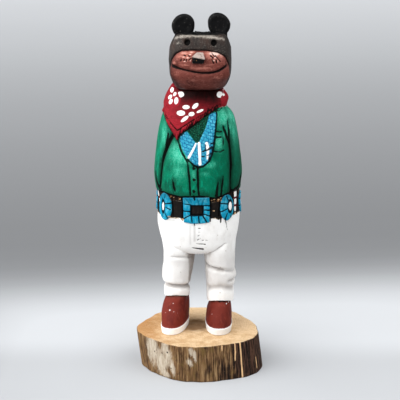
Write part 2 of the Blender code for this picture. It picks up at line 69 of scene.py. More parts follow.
# The solids' driving dimensions, in metres
LOG_WIDTH = 0.110
LOG_DEPTH = 0.0990
LOG_THICKNESS = 0.0319
LOG_LEAN = 0.0040
LOG_ARRIS = 0.0010
FIGURE_HEIGHT = 0.2704
FIGURE_X = 0.0002
FIGURE_Y = 0.0029
GLUE_GAP = 0.0003
STANDING_PLACE = (FIGURE_X, FIGURE_Y, LOG_THICKNESS + GLUE_GAP)
UNITS_HIGH = 270.4
UNIT = FIGURE_HEIGHT / UNITS_HIGH
MILLIMETRES = 1000.0

# How closely the forms are made: step between rings in millimetres, and columns round
PLAIN_STEP = 1.0
FINE_STEP = 0.66
FINE_BANDS = [(74.0, 126.0), (222.0, 254.0)]
LEG_STEP = 1.1
FRONT_SHARE = 0.42
BODY_COLUMNS = 250
COLLAR_COLUMNS = 150
LEG_COLUMNS = 76

# The block forms, in rows from the bottom up. Each row: height above the log, left and right x,
# front and back y, and how square the section is, where 2 is an ellipse.
BODY = [
    (68.6, -10.0, 8.0, -10.0, 14.0, 2.2),
    (69.4, -20.0, 18.0, -16.0, 20.0, 2.5),
    (71.5, -27.0, 25.2, -19.0, 24.0, 2.8),
    (76.0, -31.4, 29.6, -21.8, 26.4, 2.9),
    (82.0, -33.6, 31.3, -23.6, 27.8, 2.7),
    (88.0, -35.1, 32.5, -25.0, 28.6, 2.5),
    (95.0, -36.1, 33.4, -25.8, 29.2, 2.35),
    (104.0, -36.0, 33.7, -26.4, 29.2, 2.25),
    (114.0, -35.4, 33.2, -27.0, 29.2, 2.25),
    (120.0, -35.8, 33.1, -27.9, 29.8, 2.2),
    (128.0, -36.8, 33.6, -28.6, 30.5, 2.2),
    (137.0, -37.6, 34.4, -28.9, 31.0, 2.2),
    (147.0, -37.0, 33.7, -28.7, 31.2, 2.2),
    (158.0, -35.9, 32.5, -28.0, 31.0, 2.2),
    (168.0, -34.7, 31.1, -27.0, 30.2, 2.2),
    (176.0, -33.7, 30.0, -25.8, 29.2, 2.2),
    (183.0, -32.4, 28.9, -24.2, 27.6, 2.2),
    (189.0, -29.9, 26.1, -22.0, 25.6, 2.2),
    (194.0, -27.0, 21.6, -19.6, 23.2, 2.2),
    (199.0, -23.5, 20.0, -17.2, 20.8, 2.2),
    (203.0, -20.8, 18.2, -15.6, 19.2, 2.2),
    (208.2, -19.0, 17.6, -14.8, 18.6, 2.2),
    (208.8, -19.6, 19.0, -17.0, 19.4, 2.4),
    (210.4, -20.6, 20.8, -21.4, 21.5, 2.6),
    (213.2, -22.2, 22.6, -23.6, 23.5, 2.7),
    (217.2, -23.9, 24.4, -25.4, 25.0, 2.7),
    (221.0, -24.9, 25.4, -26.4, 25.8, 2.7),
    (226.0, -25.3, 25.8, -27.0, 26.2, 2.7),
    (232.0, -25.1, 25.2, -27.0, 26.4, 2.7),
    (237.0, -24.5, 24.9, -26.2, 26.4, 2.8),
    (241.5, -24.2, 24.7, -25.0, 26.2, 2.9),
    (245.0, -23.2, 23.7, -24.0, 25.6, 2.9),
    (248.4, -21.4, 22.4, -22.8, 23.0, 2.9),
    (251.0, -19.8, 21.2, -21.2, 16.5, 2.8),
    (252.4, -18.0, 19.4, -18.6, 9.5, 2.6),
    (253.2, -13.5, 14.5, -13.6, 3.5, 2.4),
    (253.4, -6.0, 6.6, -9.0, 0.0, 2.2),
    (253.45, -0.8, 1.0, -0.8, 1.2, 2.0),
]
COLLAR = [
    (187.0, -26.6, 18.6, -18.0, 22.0, 2.2),
    (190.5, -29.8, 20.6, -20.6, 26.0, 2.2),
    (195.0, -30.4, 22.6, -19.9, 25.8, 2.2),
    (199.6, -29.4, 23.9, -17.4, 24.7, 2.2),
    (205.4, -26.8, 20.6, -13.0, 23.4, 2.2),
    (209.0, -24.4, 17.6, -8.0, 22.8, 2.2),
    (212.0, -21.6, 14.5, -2.0, 22.4, 2.2),
    (213.2, -17.0, 10.0, 3.0, 18.0, 2.1),
]
LEFT_LEG = [
    (0.0, -30.4, -9.8, -25.9, 21.6, 2.4),
    (5.4, -30.9, -9.3, -26.6, 22.0, 2.4),
    (5.7, -30.3, -9.9, -25.4, 21.2, 2.4),
    (10.0, -30.9, -9.6, -23.6, 21.0, 2.4),
    (15.0, -31.4, -9.3, -21.0, 20.6, 2.4),
    (20.0, -31.0, -9.3, -17.4, 20.0, 2.3),
    (25.0, -30.0, -9.9, -13.8, 19.2, 2.3),
    (28.6, -28.9, -10.9, -10.6, 18.4, 2.3),
    (29.0, -30.9, -8.9, -12.4, 20.2, 2.3),
    (33.0, -31.0, -8.6, -13.4, 20.4, 2.3),
    (39.0, -31.4, -8.4, -14.6, 20.6, 2.4),
    (45.0, -32.6, -7.6, -16.2, 21.2, 2.4),
    (51.0, -32.4, -6.4, -16.6, 21.6, 2.4),
    (58.0, -31.5, -5.1, -17.0, 22.4, 2.4),
    (66.0, -31.3, -4.3, -18.2, 23.8, 2.4),
    (74.0, -32.2, -4.2, -19.2, 24.6, 2.5),
    (82.0, -33.2, -5.6, -18.6, 24.4, 2.5),
    (90.0, -32.4, -7.6, -15.0, 21.0, 2.3),
    (96.0, -26.0, -12.0, -9.0, 15.0, 2.2),
]
RIGHT_LEG = [
    (0.0, 5.0, 27.2, -25.9, 21.6, 2.4),
    (5.4, 4.5, 27.8, -26.6, 22.0, 2.4),
    (5.7, 5.1, 27.2, -25.4, 21.2, 2.4),
    (10.0, 5.2, 27.4, -23.6, 21.0, 2.4),
    (15.0, 5.8, 27.3, -21.0, 20.6, 2.4),
    (20.0, 7.4, 26.9, -17.4, 20.0, 2.4),
    (24.0, 9.0, 26.4, -12.4, 18.8, 2.3),
    (24.4, 6.1, 29.0, -12.6, 20.0, 2.3),
    (33.0, 5.8, 29.6, -13.6, 20.4, 2.3),
    (40.0, 5.4, 30.2, -14.8, 20.8, 2.4),
    (47.0, 4.9, 31.2, -16.0, 21.2, 2.4),
    (52.0, 4.6, 30.2, -16.4, 21.8, 2.4),
    (58.0, 4.2, 30.0, -17.4, 22.4, 2.4),
    (66.0, 3.2, 30.3, -18.2, 23.4, 2.4),
    (74.0, 3.2, 30.7, -19.2, 24.6, 2.5),
    (82.0, 5.0, 31.0, -18.6, 24.4, 2.5),
    (90.0, 7.0, 29.8, -15.0, 21.0, 2.3),
    (96.0, 11.0, 24.0, -9.0, 15.0, 2.2),
]
LEFT_CUFF, RIGHT_CUFF = 29.0, 24.4
ANKLE_DROP = 6.0

# How much a cuff's edge arches over the shoe, how wide that is, how far up and down it reaches, and
# the share of it that the sides hang lower
CUFF_ARCH = 3.6
CUFF_ARCH_WIDTH = 12.0
CUFF_ARCH_REACH = 8.0
CUFF_SAG = 0.4
HIP_LOW, HIP_HIGH = 66.0, 96.0
HIP_SIDE = 23.0
HIP_ROUNDS = 26
LEFT_TOE_OUT = math.radians(12)
RIGHT_TOE_OUT = math.radians(1)

# Outlines of the carving as (distance round from the front centre, height)
FACE = [
    (-27.7, 233.3), (-24.0, 236.9), (-20.7, 239.6), (-14.9, 242.3), (-5.1, 242.7), (5.3, 242.5),
    (14.4, 240.8), (19.0, 238.6), (22.5, 236.3), (27.6, 230.1), (30.2, 221.5), (27.0, 215.5),
    (21.0, 209.5), (-20.0, 209.5), (-26.5, 214.5), (-30.6, 221.0), (-30.0, 228.5),
]
MOUTH = [
    (-23.8, 230.1, 0.85), (-22.2, 229.5, 1.25), (-19.3, 228.8, 1.15), (-15.1, 227.6, 0.75),
    (-9.9, 226.6, 0.6), (-4.2, 225.5, 0.6), (1.1, 224.8, 0.68), (6.2, 224.8, 0.72),
    (10.5, 225.2, 0.72), (14.3, 226.3, 0.85), (16.9, 227.6, 0.92), (20.7, 229.4, 0.75), (22.0, 230.0, 0.4),
]
EYES = [(-10.8, 248.4), (10.9, 248.0)]
EYE_RADIUS = 2.6
SCARF = [
    (-110.0, 186.0), (-60.0, 186.5), (-34.0, 188.2), (-28.7, 183.1), (-22.6, 175.7),
    (-17.2, 168.6), (-14.0, 174.0), (-6.1, 179.6), (0.1, 184.0), (6.2, 188.7), (15.0, 192.4),
    (24.6, 196.5), (29.6, 199.0), (34.0, 198.4), (44.0, 195.0), (60.0, 192.0), (110.0, 186.0),
    (110.0, 208.2), (-110.0, 208.2),
]
SCARF_HEM = SCARF[:15]
SCARF_TIP = -17.2
NECKLACE = [
    (8.4, 190.4), (15.6, 190.6), (15.0, 181.1), (13.9, 168.4), (12.6, 161.1), (10.5, 153.0),
    (6.4, 149.0), (1.5, 147.8), (-2.6, 149.1), (-8.4, 154.7), (-12.5, 161.1), (-14.9, 168.3),
    (-14.6, 173.4), (-8.8, 176.4), (-1.8, 167.1), (0.7, 167.1), (4.6, 175.6), (7.2, 182.7),
]
NECK_OPENING = [
    (-9.6, 177.6), (-7.0, 175.4), (-4.6, 171.4), (-1.8, 167.1), (0.7, 167.1), (3.6, 173.2),
    (6.4, 179.1), (9.1, 188.4), (12.6, 191.8), (4.0, 191.0), (-6.0, 184.0),
]

# Heights on the belt, and of the shirt's hem over it, are given from the belt's middle
BELT_MIDDLE = 111.3
HEM = [
    (-110.0, 12.2), (-43.7, 11.9), (-31.3, 12.7), (-15.9, 10.4), (3.5, 11.3), (13.7, 9.2),
    (28.2, 13.0), (41.6, 13.0), (110.0, 12.2),
]
WAIST = [
    (-110.0, 103.4), (-41.0, 103.6), (-30.0, 103.0), (-23.6, 102.6), (-18.2, 103.0),
    (-13.2, 103.0), (10.1, 102.6), (13.7, 103.3), (16.9, 101.8), (19.4, 103.1), (30.0, 103.9),
    (37.0, 104.1), (110.0, 103.4),
]
LEATHER_TOP = [(-110.0, 118.4), (-24.0, 117.8), (-13.0, 117.6), (9.5, 116.6), (19.0, 117.4), (110.0, 118.4)]
BUCKLE = [(-12.9, 10.1), (9.2, 10.2), (9.0, -11.7), (2.1, -12.6), (-5.7, -12.7), (-12.4, -11.5)]
BUCKLE_HOLE = [(-6.4, 3.2), (3.5, 3.2), (3.5, -5.3), (-6.4, -5.4)]

# The belt's oval plates as (distance round, half width, half height), with the two at the front
# first, the white ovals on those two as (distance round, height, half width, half height), and
# those on the others as (half width, half height)
CONCHOS = [
    (-30.3, 7.4, 11.9), (24.7, 6.6, 11.4), (-57.5, 8.5, 9.5), (-82.5, 8.5, 9.5),
    (50.0, 8.5, 9.5), (75.0, 8.5, 9.5), (99.5, 7.0, 9.5),
]
FRONT_OVALS = [(-31.7, 111.2, 1.35, 3.8), (27.1, 112.2, 1.75, 3.9)]
BACK_OVAL = (1.9, 3.8)
PLATE_CUTS = 9

# Knife grooves as (depth, half width, line)
ARM_GROOVES = [
    (1.7, 1.3, [(-21.0, 173.5), (-24.5, 167.5), (-28.0, 161.0), (-33.3, 149.0), (-36.4, 127.4)]),
    (0.9, 0.8, [(-26.0, 173.0), (-28.5, 161.3)]),
    (1.7, 1.3, [(28.0, 183.2), (29.3, 169.0), (30.1, 150.0), (29.7, 130.4), (29.2, 124.4)]),
    (0.9, 0.8, [(22.0, 179.4), (25.2, 171.4), (28.4, 165.4)]),
    (1.4, 1.3, [(-62.0, 178.0), (-66.0, 160.0), (-66.0, 128.0)]),
    (1.4, 1.3, [(60.0, 178.0), (64.0, 160.0), (64.0, 128.0)]),
]
SHIRT_GROOVES = [
    (0.6, 0.7, [(-21.4, 135.5), (-19.4, 126.3)]),
    (0.6, 0.7, [(17.2, 135.9), (14.5, 122.4)]),
    (0.6, 0.7, [(20.9, 139.0), (19.2, 122.8)]),
    (0.6, 0.7, [(43.7, 135.3), (40.6, 128.1), (34.8, 124.9)]),
    (0.6, 0.6, [(-8.1, 150.6), (-6.6, 123.6)]),
    (0.6, 0.6, [(-0.6, 148.2), (0.4, 123.7)]),
    (0.5, 0.6, [(13.1, 177.2), (13.0, 160.3), (21.4, 159.6), (21.1, 176.7)]),
    (0.5, 0.6, [(13.1, 173.5), (21.1, 173.5)]),
]
LEFT_FOLDS = [
    (1.3, 1.1, [(-13.2, 66.6), (-1.4, 66.6), (5.6, 66.2), (14.0, 65.6)]),
    (
        3.0,
        2.0,
        [(-40.0, 38.4), (-18.0, 38.6), (-7.6, 39.6), (3.4, 39.3), (14.0, 38.1), (24.4, 36.2), (40.0, 37.0)],
    ),
]
RIGHT_FOLDS = [
    (
        1.5,
        1.6,
        [(-24.0, 58.2), (-18.4, 57.2), (-11.0, 56.2), (-3.9, 55.6), (3.5, 54.2), (14.0, 51.6), (30.0, 50.6)],
    ),
    (1.5, 1.5, [(-24.0, 58.2), (-18.4, 57.2), (-11.0, 56.2), (-3.9, 55.6), (2.0, 54.6)]),
    (1.6, 1.2, [(7.5, 44.0), (14.0, 43.6), (30.0, 43.2)]),
    (1.7, 2.8, [(-17.0, 35.6), (-8.5, 37.6), (0.0, 39.0), (8.0, 37.2), (14.0, 35.6), (36.0, 36.6)]),
]
CROTCH_GROOVES = [
    (0.8, 1.1, [(-23.4, 75.3), (-18.7, 73.3), (-15.2, 70.8), (-11.0, 69.6)]),
    (0.9, 1.1, [(22.6, 78.0), (17.9, 75.0), (14.3, 71.6), (9.9, 69.8)]),
]

# Brush strokes and knife cuts as lines of (distance round, height, half width)
WHISKERS = [
    [(-12.9, 238.5, 0.3), (-11.2, 237.6, 0.45)], [(-9.0, 237.8, 0.45), (-7.7, 237.1, 0.4)],
    [(-14.1, 235.2, 0.35), (-14.5, 233.8, 0.4)], [(-11.8, 235.0, 0.4), (-12.3, 233.9, 0.4)],
    [(-10.2, 235.0, 0.4), (-10.5, 233.5, 0.4)], [(-8.4, 234.5, 0.3), (-6.9, 235.8, 0.35)],
    [(8.1, 237.8, 0.5), (9.9, 235.9, 0.4)], [(9.3, 239.8, 0.35), (11.1, 237.2, 0.4)],
    [(12.0, 238.0, 0.35), (13.4, 235.7, 0.4)], [(8.8, 234.8, 0.35), (10.3, 232.5, 0.5)],
    [(12.0, 234.5, 0.35), (12.5, 232.7, 0.45)], [(14.0, 235.0, 0.4), (15.4, 233.5, 0.4)],
]
SCARF_FOLD = [
    (-30.9, 189.9, 0.35), (-27.2, 186.1, 0.42), (-23.2, 182.6, 0.5), (-19.9, 179.6, 0.5),
    (-16.4, 176.5, 0.5), (-12.8, 179.0, 0.5), (-8.2, 182.3, 0.4), (-3.6, 185.2, 0.32),
    (1.6, 188.2, 0.3), (6.8, 190.4, 0.28), (13.0, 193.8, 0.25), (24.0, 198.4, 0.25),
]
SHIRT_INK = [
    [(-20.0, 173.8, 1.4), (-24.0, 168.2, 1.6), (-27.6, 162.4, 1.5), (-31.0, 155.6, 1.2),
     (-33.4, 149.0, 0.65), (-35.0, 140.0, 0.55), (-35.7, 133.0, 0.65), (-36.6, 126.0, 1.0)],
    [(-26.6, 173.4, 0.5), (-27.2, 168.6, 0.9), (-29.0, 163.5, 0.6)],
    [(28.0, 183.6, 0.3), (28.3, 180.0, 0.8), (29.0, 174.3, 1.0), (29.2, 167.0, 0.9),
     (29.6, 158.0, 1.0), (30.0, 148.2, 1.3), (29.4, 138.0, 1.15), (28.8, 129.0, 0.9), (28.8, 124.4, 1.2)],
    [(21.4, 180.6, 0.2), (22.4, 178.6, 0.8), (24.9, 172.4, 0.95), (27.8, 166.2, 1.0), (29.2, 160.0, 0.8)],
    [(-8.4, 150.8, 0.45), (-7.8, 143.2, 0.75), (-7.0, 136.4, 0.7), (-6.4, 123.6, 0.6)],
    [(-0.2, 148.0, 0.4), (-0.2, 142.0, 0.7), (0.0, 132.1, 0.75), (0.6, 123.7, 0.6)],
    [(-21.9, 135.8, 0.2), (-20.8, 130.6, 0.8), (-19.8, 127.6, 0.9), (-19.2, 125.6, 0.4)],
    [(17.4, 135.6, 0.2), (16.4, 130.0, 0.75), (15.0, 122.6, 1.0)],
    [(21.7, 139.0, 0.2), (20.8, 132.0, 0.7), (19.7, 126.0, 0.8), (19.3, 123.0, 0.7)],
    [(45.3, 137.6, 0.6), (43.4, 131.0, 1.0), (39.4, 127.4, 1.0), (34.0, 125.8, 0.9), (28.0, 125.0, 0.8)],
    [(-42.4, 139.6, 0.5), (-41.2, 132.0, 1.0), (-38.6, 127.6, 1.2), (-34.0, 125.2, 1.0)],
    [(14.4, 176.0, 0.45), (17.6, 175.4, 0.55), (20.9, 175.4, 0.4)],
    [(13.4, 172.2, 0.5), (15.6, 171.2, 0.8), (20.2, 170.9, 0.5)],
    [(21.8, 171.6, 0.25), (21.9, 167.0, 0.35), (22.0, 163.6, 0.2)],
    [(12.6, 160.8, 0.4), (15.0, 159.5, 0.55), (19.0, 159.2, 0.6), (22.4, 160.2, 0.4)],
    [(15.6, 193.0, 0.5), (18.6, 191.4, 0.35), (24.0, 193.8, 0.25)],
    [(-16.5, 168.6, 0.5), (-15.0, 163.8, 0.75), (-12.8, 158.2, 0.8), (-9.6, 152.8, 0.7), (-8.4, 150.0, 0.5)],
    [(-62.0, 178.0, 0.4), (-66.0, 160.0, 0.7), (-66.0, 126.0, 0.9)],
    [(60.0, 178.0, 0.4), (64.0, 160.0, 0.7), (64.0, 126.0, 0.9)],
]
BUTTONS = [(-3.5, 146.0), (-3.2, 136.5), (-3.4, 126.7)]
BUTTON_SHAPE = [(-1.7, 1.1), (0.1, 1.5), (1.7, 0.3), (0.3, -1.5), (-0.8, -0.9)]
NECKLACE_INK = [
    [(16.2, 191.6, 0.7), (15.6, 186.3, 0.7), (14.9, 179.8, 0.7), (14.3, 171.9, 0.75),
     (13.3, 165.2, 0.8), (11.7, 158.4, 0.85), (8.9, 151.8, 0.85), (4.6, 148.0, 0.8),
     (0.3, 147.0, 0.75), (-3.9, 149.0, 0.75), (-8.4, 153.4, 0.7)],
    [(-14.6, 172.4, 0.35), (-11.2, 174.2, 0.3)],
    [(9.6, 165.6, 0.35), (12.8, 167.2, 0.45)], [(9.4, 163.2, 0.3), (12.4, 164.6, 0.35)],
    [(3.2, 159.9, 0.5), (8.2, 161.6, 0.45), (12.2, 163.4, 0.55)],
    [(3.2, 155.9, 0.5), (7.7, 157.0, 0.4), (11.6, 158.9, 0.55)],
    [(8.9, 157.8, 0.3), (8.7, 152.6, 0.4)], [(5.8, 161.0, 0.3), (6.4, 165.8, 0.25)],
]
NECKLACE_WHITE = [
    [(-1.6, 166.6, 0.6), (-3.6, 162.1, 0.85), (-7.5, 155.0, 1.0)],
    [(1.0, 167.0, 1.0), (1.4, 158.8, 1.25), (1.6, 153.0, 0.95), (1.6, 149.9, 1.35)],
    [(7.1, 166.6, 1.35), (8.1, 162.7, 1.2), (7.7, 154.2, 0.8)],
]
BUCKLE_INK = [
    [(-12.4, 115.9, 0.25), (-6.4, 115.5, 0.45)], [(-12.4, 109.7, 0.45), (-6.4, 109.2, 0.5)],
    [(-12.2, 102.9, 0.45), (-9.0, 105.0, 0.35), (-6.4, 106.4, 0.5)], [(-5.8, 105.6, 0.5), (-5.2, 99.8, 0.35)],
    [(-0.1, 105.6, 0.5), (0.7, 99.2, 0.45)], [(3.4, 105.8, 0.5), (6.8, 100.0, 0.55)],
    [(4.4, 107.3, 0.4), (9.4, 105.2, 0.5)], [(4.8, 110.9, 0.45), (9.4, 110.3, 0.6)],
    [(4.8, 114.9, 0.45), (9.4, 114.3, 0.55)], [(-3.6, 122.6, 0.8), (-3.0, 120.0, 0.6)],
    [(-6.4, 114.6, 0.55), (3.6, 114.6, 0.55), (3.6, 106.0, 0.55), (-6.4, 105.8, 0.55), (-6.4, 114.6, 0.55)],
    [(9.9, 121.0, 0.55), (10.1, 113.0, 0.6), (9.7, 100.4, 0.5)], [(-13.6, 120.6, 0.4), (-13.4, 101.2, 0.5)],
]
BUCKLE_CREASES = [
    [(2.6, 115.4, 0.3), (3.6, 118.6, 0.35), (5.0, 121.2, 0.3)], [(-10.8, 121.2, 0.35), (-7.8, 117.0, 0.3)],
    [(-0.6, 120.8, 0.35), (0.4, 115.6, 0.3)], [(-7.4, 121.3, 0.3), (-5.6, 117.6, 0.25)],
    [(-1.0, 98.9, 0.2), (-0.7, 101.0, 0.15)],
]
PLATE_INK = [
    [(-29.0, 122.4, 0.3), (-29.2, 119.0, 0.35)], [(-29.2, 113.8, 0.35), (-24.0, 115.1, 0.5)],
    [(-28.2, 110.8, 0.35), (-24.0, 109.5, 0.5)], [(-29.9, 106.0, 0.35), (-26.6, 101.8, 0.5)],
    [(-32.4, 106.4, 0.3), (-31.4, 102.2, 0.4)], [(-32.6, 117.0, 0.3), (-33.6, 122.0, 0.3)],
    [(19.0, 115.6, 0.45), (24.2, 114.6, 0.45)], [(18.4, 108.2, 0.5), (24.0, 110.3, 0.45)],
    [(24.1, 106.2, 0.35), (22.3, 101.6, 0.5)], [(23.8, 121.6, 0.35), (25.5, 117.4, 0.4)],
    [(-23.0, 119.6, 0.5), (-22.4, 113.0, 0.6), (-22.0, 104.4, 0.4)],
    [(18.4, 119.0, 0.5), (17.5, 112.0, 0.55), (17.2, 104.6, 0.6)], [(28.2, 106.6, 0.3), (27.4, 102.0, 0.35)],
]
BELT_SIDE_INK = [
    [(31.9, 124.6, 0.75), (31.4, 116.0, 0.65), (31.2, 105.4, 0.55)],
    [(39.6, 124.6, 1.0), (39.2, 114.5, 1.0), (37.9, 104.4, 0.8)],
    [(-48.0, 122.0, 0.8), (-44.6, 113.3, 0.75), (-41.0, 106.0, 0.6)],
]
BEADS_WHITE = [
    [(35.8, 123.0, 2.1), (35.8, 119.6, 2.0)], [(35.4, 115.6, 1.9), (35.3, 113.4, 1.8)],
    [(34.6, 109.0, 1.5), (34.5, 107.4, 1.3)],
    [(-44.0, 121.8, 2.0), (-43.0, 119.0, 1.9)], [(-41.0, 114.9, 1.3), (-39.0, 111.6, 0.9)],
]
BEADS_RED = [
    [(33.6, 117.7, 0.85), (37.6, 117.7, 0.85)], [(33.4, 111.1, 0.85), (36.9, 111.1, 0.85)],
    [(-43.8, 116.6, 0.9), (-41.4, 116.9, 0.9)],
]
TROUSER_INK = [
    [(0.0, 94.4, 0.28), (1.6, 94.4, 0.3)], [(0.0, 90.9, 0.26), (1.6, 90.8, 0.28)],
    [(-0.6, 87.4, 0.22), (0.8, 88.2, 0.26)], [(-1.1, 83.7, 0.2), (0.5, 84.6, 0.28)],
    [(2.9, 83.4, 0.28), (4.3, 83.6, 0.24)], [(6.1, 83.6, 0.28), (7.6, 83.4, 0.22)],
    [(-2.5, 80.6, 0.15), (1.1, 80.0, 0.3), (5.4, 79.7, 0.42)],
    [(-5.9, 76.4, 0.25), (-1.5, 75.8, 0.5), (3.5, 75.0, 0.68)],
    [(18.8, 103.0, 0.7), (18.9, 98.8, 0.5)], [(22.6, 101.9, 0.35), (24.3, 97.0, 0.35), (25.4, 91.6, 0.2)],
    [(-3.4, 98.6, 0.45), (-3.2, 96.4, 0.16)],
]

# Dabs of white on the scarf as (x, y, height, half width, half height, tilt in degrees)
SCARF_DABS = [
    (-23.1, -3.0, 207.0, 1.55, 2.4, -5), (-20.7, -9.0, 204.4, 1.25, 1.85, -25),
    (-24.7, -7.7, 201.9, 1.5, 2.1, -35), (-24.0, -11.1, 198.6, 1.45, 2.3, -25),
    (-19.5, -13.7, 199.7, 1.7, 3.0, -5), (-14.8, -12.9, 204.6, 2.6, 2.45, 0),
    (-11.0, -19.9, 195.0, 2.8, 1.7, 0), (-3.8, -20.4, 196.1, 3.1, 1.65, 45),
    (-15.0, -21.1, 190.4, 3.3, 2.1, -3), (-6.7, -23.2, 190.0, 2.4, 1.65, 10),
    (-0.1, -22.4, 192.2, 2.9, 1.0, 25), (-12.1, -23.8, 186.2, 3.7, 1.35, 38),
    (15.0, -10.9, 204.2, 2.4, 2.9, 0), (18.4, -6.0, 205.4, 0.85, 1.3, -25),
    (19.6, -5.2, 203.3, 0.95, 1.25, -20), (17.9, -6.0, 208.0, 0.7, 0.7, 0),
]
DAB_DEPTH = 7.0

# The flowers on the scarf's back as (turn in degrees, height), laid round the collar's middle
BACK_FLOWERS = [(150, 197.0), (198, 201.0), (243, 196.5)]
FLOWER_RADIUS = 4.6
FLOWER_SQUASH = 0.8
FLOWER_PETALS = 5
PETAL = (2.6, 1.9)
COLLAR_MIDDLE = (-2.5, 3.0)
COLLAR_REACH = (28.0, 25.0)
COLLAR_RADIUS = 26.0

# Painted shade in grooves and folds, by the mouth and under the jaw, as (strength, half width, line), and
# soft lighter spots, mostly painted highlights with a few worn chips by the eyes, as (strength, distance
# round, height, half width, half height)
PAINTED_SHADE_LINES = [
    (0.75, 3.2, [(-22.0, 173.2), (-28.5, 161.0), (-33.8, 147.0), (-36.0, 127.0)]),
    (0.45, 1.6, [(28.4, 181.0), (29.0, 172.0)]), (0.7, 3.2, [(29.2, 168.0), (29.8, 148.0), (28.8, 124.4)]),
    (0.35, 1.4, [(22.0, 179.1), (25.0, 171.0), (28.4, 163.9)]),
    (0.45, 1.6, [(-8.1, 150.6), (-6.6, 123.6)]), (0.45, 1.6, [(-0.2, 148.2), (0.5, 123.7)]),
    (0.4, 2.4, [(-21.4, 135.5), (-19.4, 126.3)]), (0.4, 2.4, [(19.4, 137.0), (17.0, 123.0)]),
    (0.5, 4.5, [(-44.0, 136.0), (-38.0, 126.0), (-20.0, 123.0), (0.0, 124.0), (20.0, 122.0), (44.0, 128.0)]),
    (0.55, 1.0, [(a, h) for a, h, _ in MOUTH]),
    (0.78, 5.5, [(-28.0, 227.0), (-23.5, 217.0), (-19.5, 210.5), (-13.0, 206.5)]),
    (0.3, 3.0, [(26.0, 226.0), (22.0, 217.0), (18.0, 210.0)]),
    (0.72, 4.5, [(29.0, 213.0), (22.0, 209.0), (12.0, 206.5)]),
    (0.36, 4.0, [(-17.0, 210.0), (-8.0, 208.6), (8.0, 208.6), (17.0, 209.0)]),
    (0.68, 5.5, [(-38.0, 228.0), (-34.0, 218.0), (-29.0, 211.5), (-20.0, 208.2)]),
    (0.68, 5.5, [(38.0, 228.0), (34.0, 218.0), (29.0, 211.5), (20.0, 208.2)]),
    (0.3, 1.6, [(-26.6, 100.4), (-20.6, 100.6)]), (0.22, 0.9, [(-3.2, 97.3), (-3.3, 83.2)]),
    (0.14, 0.8, [(-6.8, 96.0), (-7.0, 79.9)]), (0.6, 1.3, [(-23.4, 75.3), (-18.7, 73.3), (-15.2, 70.8)]),
    (0.6, 1.4, [(22.6, 78.0), (17.9, 75.0), (14.3, 71.6), (9.9, 69.8)]),
    (0.55, 1.0, [(14.3, 71.6), (9.9, 70.4)]),
]
PALE_SPOTS = [
    (0.75, -18.8, 246.8, 2.2, 1.7), (0.5, -24.6, 246.0, 1.6, 3.0), (0.8, 12.4, 245.2, 1.3, 0.6),
    (0.5, 10.0, 245.4, 1.2, 0.5), (0.85, -9.6, 236.2, 1.5, 0.8), (0.85, -12.6, 236.6, 1.3, 0.7),
    (0.85, -7.9, 238.8, 1.3, 0.6), (0.85, 10.2, 234.0, 1.2, 0.8), (0.85, 11.2, 236.4, 0.8, 1.3),
    (0.85, 10.2, 238.9, 0.6, 0.8), (0.8, -11.6, 233.6, 1.8, 0.5), (0.8, -7.4, 234.2, 0.6, 0.9),
    (0.75, 13.2, 233.6, 0.6, 1.0), (0.75, 12.9, 237.6, 0.5, 0.8), (0.8, 8.4, 236.6, 0.6, 0.9),
    (0.6, -14.6, 237.4, 2.0, 0.7), (0.5, 7.6, 231.2, 4.0, 0.6), (0.5, -11.0, 231.0, 5.0, 0.7),
    (0.35, -17.0, 237.0, 5.0, 3.0), (0.35, 16.5, 236.6, 5.0, 2.6), (0.6, -13.0, 239.8, 5.5, 1.6),
    (0.66, -7.0, 240.6, 3.0, 1.5), (0.88, 12.0, 239.6, 8.0, 2.6), (0.6, 17.5, 237.8, 3.5, 2.6),
    (0.42, 7.0, 237.6, 4.0, 4.0), (0.4, -10.0, 236.6, 6.0, 4.0), (0.36, 12.0, 235.6, 6.0, 3.6),
    (0.42, 0.0, 228.6, 14.0, 1.2), (0.5, -20.0, 232.0, 2.5, 1.4),
    (0.3, -5.7, 219.6, 4.5, 3.0), (0.3, 12.6, 221.0, 5.5, 3.0), (0.25, -17.5, 223.0, 4.0, 4.0),
    (0.85, -15.4, 158.0, 7.5, 7.5), (0.8, -8.4, 153.0, 6.0, 3.0), (0.5, -31.5, 172.0, 4.0, 9.0),
    (0.8, 33.0, 187.0, 6.5, 7.0), (0.6, 41.0, 176.0, 4.0, 12.0), (0.8, 23.0, 186.0, 6.0, 7.0),
    (0.7, 29.0, 178.0, 5.0, 6.0), (0.8, 38.0, 184.0, 6.5, 9.0), (0.8, 35.0, 174.0, 3.5, 9.0),
    (0.8, 18.0, 166.5, 3.4, 5.5), (0.55, 9.6, 149.0, 5.0, 2.4), (0.4, 5.5, 141.5, 3.0, 1.5),
    (0.35, -15.0, 143.0, 6.0, 6.0), (0.4, -3.2, 141.0, 1.6, 4.0), (0.5, 22.6, 172.5, 0.7, 3.0),
    (0.35, 36.5, 172.0, 4.0, 16.0),
]
